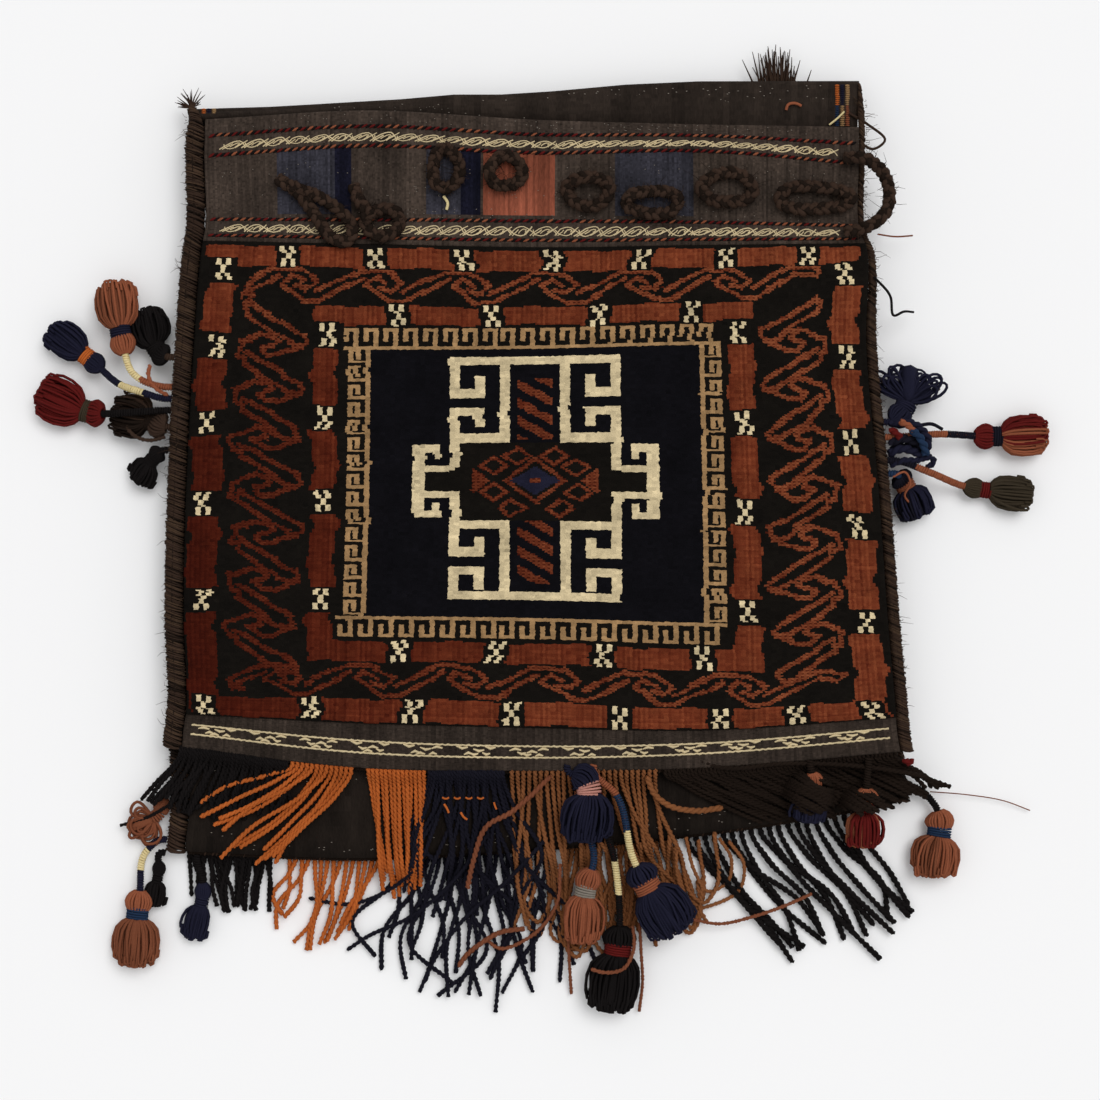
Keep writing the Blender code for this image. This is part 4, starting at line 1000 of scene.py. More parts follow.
class SaddleCloth:
    """The long cloth that backs both pouches and folds over at the bridge."""

    LEG, NECK, ROLL = 44, 10, 10

    def build(self, rng: np.random.Generator) -> bpy.types.Object:
        """The folded cloth, as thick as its weave."""
        across = 100
        long = 2 * self.LEG + 2 * self.NECK + self.ROLL
        grid = WovenGrid("bridge_cloth", across, long)
        u = grid.i / across * COLUMNS
        j = grid.j
        mouth_x, mouth_y = LATTICE.place(u, np.full(u.shape, MOUTH_ROW))
        fold_y = np.interp(mouth_x, FOLD_X, FOLD_Y) - 3.0
        fold_x = mouth_x + np.interp(u, (0, 24, 110, COLUMNS), (-12.0, 0.0, 0.0, 1.5))
        x, y, z = mouth_x.copy(), mouth_y.copy(), np.full(u.shape, LAYERS.upper_leg)
        leg = j < self.LEG
        row = FOOT_ROW + (MOUTH_ROW - FOOT_ROW) * np.minimum(j, self.LEG) / self.LEG
        lx, ly = LATTICE.place(u, row)
        x, y = np.where(leg, lx, x), np.where(leg, ly, y)
        neck = (j >= self.LEG) & (j < self.LEG + self.NECK)
        share = (j - self.LEG) / self.NECK
        x = np.where(neck, mouth_x + (fold_x - mouth_x) * share, x)
        y = np.where(neck, mouth_y + (fold_y - mouth_y) * share, y)
        wave = 0.9 * np.sin(mouth_x / 37 + 1.0) * np.sin(np.clip(share, 0, 1) * math.pi)
        z = np.where(neck, z + np.maximum(wave, -0.4) + 1.6 * np.sin(np.clip(share, 0, 1) * math.pi), z)
        radius = (LAYERS.upper_leg - LAYERS.lower_leg) / 2
        turn = np.clip((j - self.LEG - self.NECK) / self.ROLL, 0, 1) * math.pi
        roll = (j >= self.LEG + self.NECK) & (j <= self.LEG + self.NECK + self.ROLL)
        x = np.where(roll, fold_x, x)
        y = np.where(roll, fold_y + radius * np.sin(turn), y)
        z = np.where(roll, (LAYERS.upper_leg + LAYERS.lower_leg) / 2 + radius * np.cos(turn), z)
        back = j - (self.LEG + self.NECK + self.ROLL)
        low_x, low_y = LAYERS.lowered(*LATTICE.place(u, np.full(u.shape, MOUTH_ROW)))
        share = np.clip(back / self.NECK, 0, 1)
        after = back > 0
        x = np.where(after, fold_x + (low_x - fold_x) * share, x)
        y = np.where(after, fold_y + (low_y - fold_y) * share, y)
        z = np.where(after, LAYERS.lower_leg, z)
        lower = back > self.NECK
        row = MOUTH_ROW + (FOOT_ROW - MOUTH_ROW) * np.clip((back - self.NECK) / self.LEG, 0, 1)
        lx, ly = LAYERS.lowered(*LATTICE.place(u, row))
        x, y = np.where(lower, lx, x), np.where(lower, ly, y)
        grid.shape(x, y, z)
        tone = rng.normal(1, 0.1, across)[grid.face_i] * rng.normal(1, 0.08, len(grid.face_i))
        # The cloth takes about half the weave's colour. Past the fold, where it lies low under the upper pouch, it is
        # painted darker still as painted shade.
        tone = np.where(grid.face_j > self.LEG + self.NECK + self.ROLL, tone * 0.3, tone * 0.55)
        colours = PALETTE[CHART.palette.index(Yarn.WEAVE)] * np.clip(tone, 0.2, 1.6)[:, None]
        colours[:, 3] = 1
        grid.dye(colours)
        cloth = grid.woven(FINISH_KIT.flat_weave())
        thick = cloth.modifiers.new("thickness", "SOLIDIFY")
        thick.thickness = LAYERS.cloth * MM
        thick.offset = 0.0
        return finish_piece(cloth, "flat_weave", "saddle_cloth")


class ClothDetails:
    """Pale flecks in the bridge and the lower cloth, and the tapestry selvage at the bridge's corners."""

    def build(self, rng: np.random.Generator) -> bpy.types.Object:
        """All the small raised wefts on the saddle cloth."""
        skein = Skein("cloth_wefts", 0)
        top = LAYERS.upper_leg + LAYERS.cloth / 2
        for _ in range(120):
            x = rng.uniform(-150, 185)
            edge = float(np.interp(x, FOLD_X, FOLD_Y))
            y = edge - abs(rng.normal(5, 4)) - 3
            points = np.array([(x - 0.5, y, 0), (x, y, 0.1), (x + 0.5, y, 0)]) + (0, 0, top + 0.9)
            skein.add(points, np.array([0.1, 0.32, 0.1]), Yarn.GREY)
        for _ in range(160):
            column, row = rng.uniform(4, 134), rng.choice([133, 139, 158, 160.5]) + rng.normal(0, 0.8)
            x, y = LAYERS.lowered(*LATTICE.place(np.array([column]), np.array([row])))
            spot = (x[0], y[0], LAYERS.lower_leg + LAYERS.cloth / 2)
            points = np.array([(-0.5, 0, 0), (0, 0, 0.1), (0.5, 0, 0)]) + spot
            skein.add(points, np.array([0.1, 0.3, 0.1]), Yarn.GREY)
        self._selvage(skein, 185.0, 196.0, 221.0, rng)
        self._selvage(skein, -197.0, 200.0, 206.0, rng)
        return finish_piece(skein.spun(), "flat_weave", "saddle_cloth")

    def _selvage(self, skein: Skein, middle: float, low: float, high: float, rng: np.random.Generator) -> None:
        """Three narrow columns of short wefts in turning colours."""
        z = LAYERS.upper_leg + LAYERS.cloth / 2 + 1.0
        for y in np.arange(low, high, 1.15):
            early = y > (low + high) / 2
            yarns = (Yarn.ORANGE if early else Yarn.BLUE, Yarn.NAVY if early else Yarn.GOLD, Yarn.GOLD if early else Yarn.RUST)
            for k, yarn in enumerate(yarns):
                x = middle - 4 + k * 3.1 + rng.normal(0, 0.1)
                points = np.array([(x - 1.2, y, z), (x, y, z + 0.35), (x + 1.2, y, z)])
                skein.add(points, np.array([0.35, 0.55, 0.35]), yarn)


def hairs(
    skein: Skein, route: Route, reach: float, count: int, length: float, yarn: Yarn, rng: np.random.Generator
) -> None:
    """Loose hairs that stand off a cord.

    Args:
        skein: where they go.
        route: the cord's middle line.
        reach: the cord's radius.
        count: how many.
        length: how long the longest are.
        yarn: what they are.
        rng: the random source.
    """
    s = rng.uniform(0.02, 0.98, count) * route.length
    angle = rng.uniform(-0.5, math.pi + 0.5, count)
    root = route.at(s, np.cos(angle) * reach * 0.8, np.sin(angle) * reach * 0.8)
    out = route.at(s, np.cos(angle) * reach * 1.5, np.sin(angle) * reach * 1.2) - root
    out /= np.linalg.norm(out, axis=1)[:, None]
    long = length * rng.uniform(0.3, 1.0, count)[:, None]
    bend = rng.normal(0, 0.5, (count, 3)) * (1, 1, 0.3)
    for a, b, c in zip(root, root + (out + bend * 0.3) * long * 0.5, root + (out * 0.8 + bend) * long):
        skein.add(np.array([a, b, c]), np.array([0.16, 0.13, 0.06]), yarn)


# How far the bindings' radius goes, in millimetres, at each of the lattice's rows.
FULL_RADII = (6.3,) * 10
TIGHT_RADII = (2.0, 2.0, 2.0, 2.2, 3.6, 3.8, 4.0, 4.2, 4.2, 4.2)


@dataclass
class Binding:
    """A side seam, oversewn with goat hair round a core."""

    HAIR: ClassVar[tuple[Yarn, ...]] = (Yarn.GOAT, Yarn.GOAT_PALE, Yarn.GOAT_DARK)

    node: str
    column: float
    lower: bool
    height: float
    radii: tuple[float, ...] = FULL_RADII
    past_mouth: tuple[tuple[float, float, float], ...] = ()
    frayed: bool = False

    def route(self) -> tuple[Route, np.ndarray]:
        """The seam's middle line from the fold or the mouth to the foot, and its radius along it."""
        rows = np.linspace(MOUTH_ROW, FOOT_ROW, 24)
        x, y = LATTICE.place(np.full(24, self.column), rows)
        radius = np.interp(rows, LATTICE.rows, self.radii)
        x = x + (radius + 0.3) * (1 if self.column else -1)
        if self.lower:
            x, y = LAYERS.lowered(x, y)
        line = [*self.past_mouth, *np.stack([x, y, np.full(24, self.height)], -1)]
        route = Route(line, 1.0)
        reach = np.interp(route.points[:, 1], y[::-1], radius[::-1])
        if self.past_mouth:
            reach = reach * np.clip(0.3 + route.run / 26, 0, 1)
        return route, reach

    def build(self, rng: np.random.Generator) -> bpy.types.Object:
        """The seam with its stitches and hairs."""
        skein = Skein(self.node.replace("binding", "oversewing"), 0)
        route, reach = self.route()
        core = np.arange(0, route.length, 3.0)
        skein.add(route.at(core), np.interp(core, route.run, reach) * 0.84, Yarn.GOAT_DARK)
        turn = np.linspace(-0.5, math.pi + 0.5, 6)
        share = 0.5 if self.lower else 1.0
        for start in np.arange(-2.0, route.length - 1, 0.95 / share):
            start = start + rng.normal(0, 0.2)
            lean = rng.normal(4.2, 0.6)
            s = np.clip(start + lean * (0.5 - 0.5 * np.cos(turn)), 0, route.length)
            out = np.interp(s, route.run, reach) * (0.86 + rng.normal(0, 0.035) + 0.03 * np.sin(turn * 3 + start))
            thick = rng.uniform(0.44, 0.66) * (2 - share)
            yarn = rng.choice(self.HAIR, p=(0.56, 0.3, 0.14))
            skein.add(route.at(s, np.cos(turn) * out, np.sin(turn) * out * 0.96), thick, yarn)
        middle = float(reach.mean())
        hairs(skein, route, middle, int(480 * share**2), 3.4, Yarn.GOAT_PALE, rng)
        hairs(skein, route, middle, int(150 * share**2), 7.0, Yarn.GOAT, rng)
        if self.frayed:
            self._frayed_end(skein, route.at(np.array([0.5]))[0], rng)
        return finish_piece(skein.spun(), "goat_hair_binding", self.node)

    def _frayed_end(self, skein: Skein, end: np.ndarray, rng: np.random.Generator) -> None:
        """The loose hair past the seam's upper end."""
        for _ in range(34):
            angle = rng.uniform(0.15, 1.0) * math.pi
            long = rng.uniform(5, 13)
            out = np.array([math.cos(angle), math.sin(angle), rng.uniform(-0.2, 0.2)])
            sag = np.array([rng.normal(0, 1.2), 0, -1.0])
            line = np.array([end - out * 3, end + out * long * 0.5, end + out * long + sag])
            skein.add(line, np.array([0.6, 0.4, 0.12]), Yarn.GOAT)


@dataclass
class FootSeam:
    """A pouch's foot, rolled and oversewn with dark goat hair."""

    node: str
    lower: bool
    radius: float = 1.7
    stitch: float = 2.4

    def build(self, rng: np.random.Generator) -> bpy.types.Object:
        """The roll with its stitches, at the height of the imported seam."""
        corners = [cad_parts[self.node].matrix_world @ v.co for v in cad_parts[self.node].data.vertices]
        low, high = min(c.z for c in corners) / MM, max(c.z for c in corners) / MM
        x, y = LATTICE.place(np.linspace(0.5, COLUMNS - 0.5, 30), np.full(30, FOOT_ROW))
        if self.lower:
            x, y = LAYERS.lowered(x, y)
        route = Route([(a, b - 0.6, (low + high) / 2) for a, b in zip(x, y)], 1.0)
        skein = Skein(self.node.replace("seam", "roll"), 1)
        skein.add(route.at(np.arange(0, route.length, 3.0)), self.radius, Yarn.GOAT_DARK)
        turn = np.linspace(-0.4, math.pi + 0.4, 7)
        for start in np.arange(0, route.length - 2, self.stitch):
            s = np.clip(start + rng.normal(0, 0.2) + 1.6 * (0.5 - 0.5 * np.cos(turn)), 0, route.length)
            line = route.at(s, np.cos(turn) * self.radius, np.sin(turn) * self.radius)
            skein.add(line, rng.uniform(0.35, 0.55), Yarn.GOAT if rng.random() < 0.3 else Yarn.GOAT_DARK)
        return finish_piece(skein.spun(), "flat_weave", self.node)


def ring(x: float, y: float, wide: float, tall: float, start: float) -> tuple[tuple[float, float, float], ...]:
    """A ring of cord whose ends cross.

    Args:
        x, y: its middle, in millimetres.
        wide: half its width.
        tall: half its height.
        start: where the ends cross, as an angle in degrees.

    Returns:
        Points round it, with how high each lies.
    """
    points = []
    for k in range(11):
        angle = math.radians(start + k * 38.0)
        swing = 1.0 + 0.07 * math.sin(k * 2.1 + x)
        points.append((x + wide * swing * math.cos(angle), y + tall * swing * math.sin(angle), 2.2 * (k > 8)))
    return tuple(points)


LOOPS = (
    ((-155, 162, 0), (-142, 153, 0), (-131, 138, 0), (-123, 127, 0), (-115, 124, 0), (-110, 132, 0),
     (-117, 142, 0), (-130, 151, 0), (-148, 158, 1)),
    ((-110, 158, 0), (-106, 149, 0), (-100, 142, 0), (-93, 144, 0), (-84, 142, 0), (-82, 135, 0),
     (-88, 129, 0), (-98, 129, 0), (-103, 136, 0), (-98, 143, 2.5)),
    ring(-54.5, 168, 8, 12, 250),
    ring(-18.6, 166.5, 10, 9, 200),
    ring(30.6, 154.5, 13, 8.8, 120),
    ring(69.6, 148, 16, 6.8, 160),
    ring(114, 156.6, 15.5, 8.8, 200),
    ring(165.6, 150.5, 22, 6.8, 20),
    ((184, 174, 0), (194, 174, 4), (204, 168, 4), (210, 157, 2), (210, 146, 2), (204, 137, 4), (195, 132, 4),
     (184, 130, 0)),
)


@dataclass
class BraidedLoop:
    """A closure loop: three strands of goat hair, braided."""

    number: int
    points: Sequence[Sequence[float]]
    radius: float = 3.8
    strand: float = 1.9

    def build(self, rng: np.random.Generator) -> bpy.types.Object:
        """The loop on the closure band."""
        base = LAYERS.face_high + 0.8 + 3.3
        route = Route([(x, y, base + rise) for x, y, rise in self.points])
        skein = Skein(f"braid_{self.number}", 1)
        s = np.arange(0, route.length, 1.1)
        pitch = 13.0
        skein.add(route.at(s), self.radius * 0.62, Yarn.GOAT_DARK)
        for k in range(3):
            turn = s / pitch * 2 * math.pi + k * 2 * math.pi / 3 + 0.5 * np.sin(s / 9 + self.number)
            aside = np.sin(turn) * (self.radius - self.strand) * 1.15 + rng.normal(0, 0.16, len(s))
            above = np.sin(2 * turn) * (self.radius - self.strand) * 0.55 + rng.normal(0, 0.12, len(s))
            lumps = 1 + 0.08 * np.sin(s * 1.7 + k) + rng.normal(0, 0.07, len(s))
            skein.add(route.at(s, aside, above), self.strand * lumps, Yarn.GOAT if k else Yarn.GOAT_DARK)
        hairs(skein, route, self.radius, 110, 3.0, Yarn.GOAT, rng)
        hairs(skein, route, self.radius, 40, 6.5, Yarn.GOAT_DARK, rng)
        return finish_piece(skein.spun(), "goat_hair_braid", f"closure_loop_{self.number}")


def foot_line(x: np.ndarray, lower: bool) -> np.ndarray:
    """The y of a pouch's foot edge at each x."""
    column = np.linspace(0, COLUMNS, 40)
    fx, fy = LATTICE.place(column, np.full(40, FOOT_ROW))
    if lower:
        fx, fy = LAYERS.lowered(fx, fy)
    return np.interp(x, fx, fy)


def ramp(value: np.ndarray, start: float, stop: float, low: np.ndarray, high: np.ndarray) -> np.ndarray:
    """From low to high as value goes from start to stop, held at both ends."""
    share = np.clip((value - start) / (stop - start), 0, 1)
    share = share * share * (3 - 2 * share)
    return low + (high - low) * share


@dataclass(frozen=True)
class Fan:
    """A stretch of fringe: where its cords leave the foot, where they end and how far down.

    Columns are the chart's; the ends and drops are millimetres at the left, in the middle and at the right.
    """

    node: str
    yarn: Yarn
    count: int
    start: float
    stop: float
    end_left: float
    end_right: float
    drops: tuple[float, float, float]
    spread: float = 6.0
    radius: float = 1.55
    lift: float = 0.0
    looped: float = 0.0


FANS = (
    Fan("upper_fringe_black_left", Yarn.BLACK, 46, -0.5, 21, -238, -150, (38, 42, 36), spread=9),
    Fan("upper_fringe_orange_left", Yarn.ORANGE, 13, 21.5, 34, -204, -156, (30, 60, 66), spread=12, lift=2.0),
    Fan("upper_fringe_orange_right", Yarn.ORANGE, 14, 36.5, 48, -94, -70, (80, 84, 74), spread=4),
    Fan("upper_fringe_navy", Yarn.INK, 30, 48.5, 63, -80, -6, (66, 100, 84), spread=22),
    Fan("upper_fringe_camel", Yarn.CAMEL, 26, 64, 93, -14, 96, (96, 112, 80), spread=16, looped=0.45),
    Fan("upper_fringe_black_right", Yarn.GOAT_DARK, 60, 94, 137.5, 138, 250, (34, 32, 24), spread=9),
    Fan("lower_fringe_black_left", Yarn.BLACK, 26, 0, 17, -208, -164, (30, 40, 36)),
    Fan("lower_fringe_orange", Yarn.ORANGE, 15, 20, 39, -166, -112, (38, 62, 48), spread=10),
    Fan("lower_fringe_navy", Yarn.INK, 28, 42, 73, -98, 12, (60, 100, 78), spread=22),
    Fan("lower_fringe_camel", Yarn.CAMEL, 24, 75, 97, 10, 100, (56, 70, 52), spread=13, looped=0.65),
    Fan("lower_fringe_black_right", Yarn.BLACK, 19, 98, 131, 142, 236, (78, 84, 66), spread=15, radius=1.9),
)


def two_ply(skein: Skein, route: Route, radius: float, yarn: Yarn, rng: np.random.Generator) -> None:
    """A cord of two plies twisted round each other."""
    s = np.arange(0, route.length, 1.75)
    phase = rng.uniform(0, 6)
    for ply in (0, math.pi):
        turn = s / (4.1 * radius) * 2 * math.pi + ply + phase
        points = route.at(s, np.cos(turn) * radius * 0.46, np.sin(turn) * radius * 0.46)
        skein.add(points, radius * 0.62 * (1 + 0.12 * rng.random()), yarn)


# The tassels that the upper pouch's cords lie over: middle, reach and height in millimetres.
TASSELS_UNDER = (((164, -207), 16, 32.5), ((197, -217), 17, 32.0))


class Fringe:
    """One fan of fringe: two-ply cords that hang from a pouch's foot and lie where they fall."""

    FLOOR = 2.0

    def __init__(self, fan: Fan) -> None:
        self.fan = fan
        self.lower = fan.node.startswith("lower")

    def _height(self, x: np.ndarray, y: np.ndarray, layer: float) -> np.ndarray:
        """The height of a cord's middle as it falls from cloth to cloth to the floor."""
        radius = self.fan.radius
        floor = self.FLOOR + layer * 1.2
        down = foot_line(x, self.lower) - y
        if self.lower:
            return ramp(down, 0, 12, np.full(x.shape, LAYERS.lower_face + 1.5), floor)
        on_cloth = LAYERS.lower_leg + LAYERS.cloth / 2 + radius + layer
        z = ramp(down, 0, 11, np.full(x.shape, LAYERS.face_low + 1.6), on_cloth)
        past = foot_line(x, True) - y
        z = ramp(past, 2, 18, z, floor + 1.2)
        for middle, reach, top in TASSELS_UNDER:
            away = np.hypot(x - middle[0], y - middle[1]) / reach
            z = np.maximum(z, (top + layer * 0.3) * np.exp(-(away**4)))
        return z

    def build(self, rng: np.random.Generator) -> bpy.types.Object:
        """All the cords of the fan."""
        fan = self.fan
        skein = Skein(fan.node.replace("fringe", "cords"), 0)
        for k in range(fan.count):
            share = (k + 0.5) / fan.count
            column = fan.start + (fan.stop - fan.start) * share
            x, y = LATTICE.place(np.array([column]), np.array([FOOT_ROW]))
            if self.lower:
                x, y = LAYERS.lowered(x, y)
            root = np.array([x[0], y[0]])
            drop = np.interp(share, (0, 0.5, 1), fan.drops) * rng.uniform(0.82, 1.02)
            end = fan.end_left + (fan.end_right - fan.end_left) * share + rng.normal(0, fan.spread * 0.6)
            tip = np.array([end, y[0] - drop])
            lean = rng.normal(0, fan.spread * 0.4, 2)
            flat = [root + (0, 1), root - (0, 2), root + (0.18 * (tip[0] - root[0]) + lean[0] * 0.3, -drop * 0.3)]
            flat += [root + (0.6 * (tip[0] - root[0]) + lean[0], -drop * 0.66), tip]
            if rng.random() < fan.looped:
                back = tip + (rng.uniform(6, 12), drop * 0.04)
                flat += [(tip + back) / 2 - (0, 5), back, back + (rng.uniform(-2, 5), drop * 0.5)]
            line = Route([(p[0], p[1], 0) for p in flat], 1.0)
            s = np.arange(0, line.length, 1.15)
            points = line.at(s)
            layer = fan.lift + (k * 7 % 5) * 0.55
            points[:, 2] = self._height(points[:, 0], points[:, 1], layer)
            points[:, 1] = np.minimum(points[:, 1], foot_line(points[:, 0], self.lower) + 1.0)
            two_ply(skein, Route(points, 1.0), fan.radius, fan.yarn, rng)
        return finish_piece(skein.spun(), self._slot(), fan.node)

    def _slot(self) -> str:
        slots = {Yarn.ORANGE: "orange_yarn", Yarn.CAMEL: "camel_yarn", Yarn.INK: "navy_yarn"}
        return slots.get(self.fan.yarn, "black_yarn")


@dataclass(frozen=True)
class Tassel:
    """A tassel: its line from seat to tips in millimetres, its sizes and its yarns."""

    node: str
    slot: str
    points: tuple[tuple[float, float, float], ...]
    radius: float
    skirt: float
    yarn: Yarn
    wrap: Yarn
    head: Yarn
    stem: tuple[Yarn, ...]
    looped: bool = False
    mix: Yarn | None = None


TASSELS = (
    Tassel("left_tassel_dark", "goat_hair_braid", ((-221, 14, 20.2), (-224, 14, 20.2), (-232, 18, 14.5),
           (-256, 24, 7.5)), 14, 22, Yarn.GOAT_DARK, Yarn.GOAT_DARK, Yarn.GOAT, (Yarn.GOAT,), mix=Yarn.GOAT),
    Tassel("left_tassel_rust", "rust_yarn", ((-219.5, 38, 20.2), (-222.5, 38, 20.2), (-243, 46, 20), (-250, 66, 17),
           (-256, 102, 12)), 13, 28, Yarn.BROWN, Yarn.NAVY, Yarn.RUST, (Yarn.RUST, Yarn.CREAM), mix=Yarn.RUST),
    Tassel("left_tassel_black", "black_yarn", ((-218.4, 56, 20.2), (-221.4, 56, 20.2), (-228, 59, 14), (-238, 85, 8)),
           12, 22, Yarn.BLACK, Yarn.BLACK, Yarn.BLACK, (Yarn.GOAT,)),
    Tassel("left_tassel_navy", "navy_yarn", ((-220, 31, 20.2), (-223, 31, 20.2), (-238, 35, 21), (-252, 40, 16),
           (-268, 53, 10), (-295, 74, 7)), 11, 24, Yarn.NAVY, Yarn.ORANGE, Yarn.NAVY, (Yarn.NAVY, Yarn.CREAM, Yarn.NAVY)),
    Tassel("left_tassel_cherry", "cherry_yarn", ((-220.4, 24, 20.2), (-223.4, 24, 20.2), (-240, 23, 22), (-257, 22, 20),
           (-269, 23, 11), (-302, 36, 8)), 14, 28, Yarn.CHERRY, Yarn.OLIVE, Yarn.CHERRY, (Yarn.BLACK,)),
    Tassel("left_tassel_low", "black_yarn", ((-221.9, 0, 20.2), (-224.9, 0, 20.2), (-230, -3, 16), (-242, -18, 7)),
           9, 14, Yarn.BLACK, Yarn.BLACK, Yarn.BLACK, (Yarn.BLACK,)),
    Tassel("right_tassel_navy_looped", "navy_yarn", ((208.6, 17, 20.2), (211.6, 17, 20.2), (219, 22, 18), (226, 54, 9)),
           13, 26, Yarn.NAVY, Yarn.NAVY, Yarn.NAVY, (Yarn.NAVY,), True),
    Tassel("right_tassel_cherry", "cherry_yarn", ((209.4, 8, 20.2), (212.4, 8, 20.2), (244, 10, 16), (272, 9, 9),
           (309, 10, 9)), 12.5, 27, Yarn.CHERRY, Yarn.INK, Yarn.CHERRY, (Yarn.RUST, Yarn.RUST, Yarn.INK), mix=Yarn.RUST),
    Tassel("right_tassel_olive", "black_yarn", ((210.7, -6, 20.2), (213.7, -6, 20.2), (236.2, -13, 18),
           (258.2, -21, 9), (300.2, -26, 7)), 10, 25, Yarn.OLIVE, Yarn.CHERRY, Yarn.OLIVE,
           (Yarn.INK, Yarn.RUST, Yarn.RUST)),
    Tassel("right_tassel_navy", "navy_yarn", ((211.4, -14, 20.2), (214.4, -14, 20.2), (222.2, -19, 10), (231.2, -40, 7)),
           12, 18, Yarn.NAVY, Yarn.RUST, Yarn.INK, (Yarn.BLUE,), mix=Yarn.INK),
    Tassel("foot_left_tassel_looped", "camel_yarn", ((-224.2, -214, 6.6), (-227.2, -214, 6.6), (-228.6, -218, 7),
           (-249.6, -230, 6)), 8, 18, Yarn.BROWN, Yarn.BROWN, Yarn.BROWN, (Yarn.BROWN,), True),
    Tassel("foot_left_tassel_long", "camel_yarn", ((-225.4, -236, 6.6), (-228.4, -236, 6.6), (-237.3, -243, 8),
           (-241.3, -268, 8), (-245.3, -312, 8)), 14, 28, Yarn.BROWN, Yarn.BLUE, Yarn.RUST, (Yarn.NAVY, Yarn.CREAM, Yarn.NAVY)),
    Tassel("foot_left_tassel_grey", "goat_hair_braid", ((-226.1, -244, 6.6), (-229.1, -244, 6.6), (-230.1, -254, 6),
           (-234.1, -276, 5)), 6, 14, Yarn.BLACK, Yarn.BLACK, Yarn.BLACK, (Yarn.BLACK,)),
    Tassel("foot_left_tassel_navy", "navy_yarn", ((-206.6, -245.2, 7.7), (-206.6, -248.2, 7.7), (-203.8, -258.6, 6),
           (-208.8, -296.6, 5)), 8, 20, Yarn.NAVY, Yarn.NAVY, Yarn.NAVY, (Yarn.BLACK,)),
    Tassel("foot_middle_tassel_navy", "navy_yarn", ((18.2, -189, 25.5), (18.2, -192, 25.5), (27, -196, 26.9),
           (28, -234, 27.6)), 15, 28, Yarn.NAVY, Yarn.PINK, Yarn.NAVY, (Yarn.NAVY,)),
    Tassel("foot_middle_tassel_wide", "navy_yarn", ((33.9, -188.8, 25.5), (33.9, -191.8, 25.5), (47, -206, 25.4),
           (58, -246, 21.4), (84, -290, 16.4)), 17, 30, Yarn.NAVY, Yarn.RUST, Yarn.NAVY, (Yarn.RUST, Yarn.BLUE, Yarn.CREAM)),
    Tassel("foot_middle_tassel_rust", "rust_yarn", ((24.5, -205.9, 16.9), (24.5, -208.9, 16.9), (34, -248.9, 18.1),
           (30, -261.9, 17.4), (27, -296.9, 13.9)), 13, 28, Yarn.RUST, Yarn.GREY, Yarn.RUST, (Yarn.RUST, Yarn.BLUE)),
    Tassel("foot_middle_tassel_black", "black_yarn", ((37, -205.8, 16.9), (37, -208.8, 16.9), (47, -248.8, 17.7),
           (50, -283.8, 12.9), (44, -338.8, 9.9)), 17, 34, Yarn.BLACK, Yarn.CHERRY, Yarn.BLACK,
           (Yarn.CHERRY, Yarn.BLACK, Yarn.CREAM, Yarn.BLACK)),
    Tassel("foot_right_tassel_long", "camel_yarn", ((225.4, -204, 6.6), (228.4, -204, 6.6), (240.9, -214, 8),
           (239.9, -258, 9)), 15, 24, Yarn.RUST, Yarn.BLUE, Yarn.RUST, (Yarn.BLACK,), mix=Yarn.BROWN),
    Tassel("foot_right_tassel_rust", "cherry_yarn", ((198.8, -185, 24.5), (198.8, -188, 24.5), (198, -198, 24),
           (196, -238, 23)), 12, 20, Yarn.CHERRY, Yarn.CHERRY, Yarn.RUST, (Yarn.GOAT_DARK,), mix=Yarn.RUST),
    Tassel("foot_right_tassel_navy", "navy_yarn", ((163.7, -186.4, 24.5), (163.7, -189, 24.5), (165, -194, 24.4),
           (163, -223, 22.4)), 10, 16, Yarn.NAVY, Yarn.RUST, Yarn.RUST, (Yarn.GOAT_DARK,)),
)


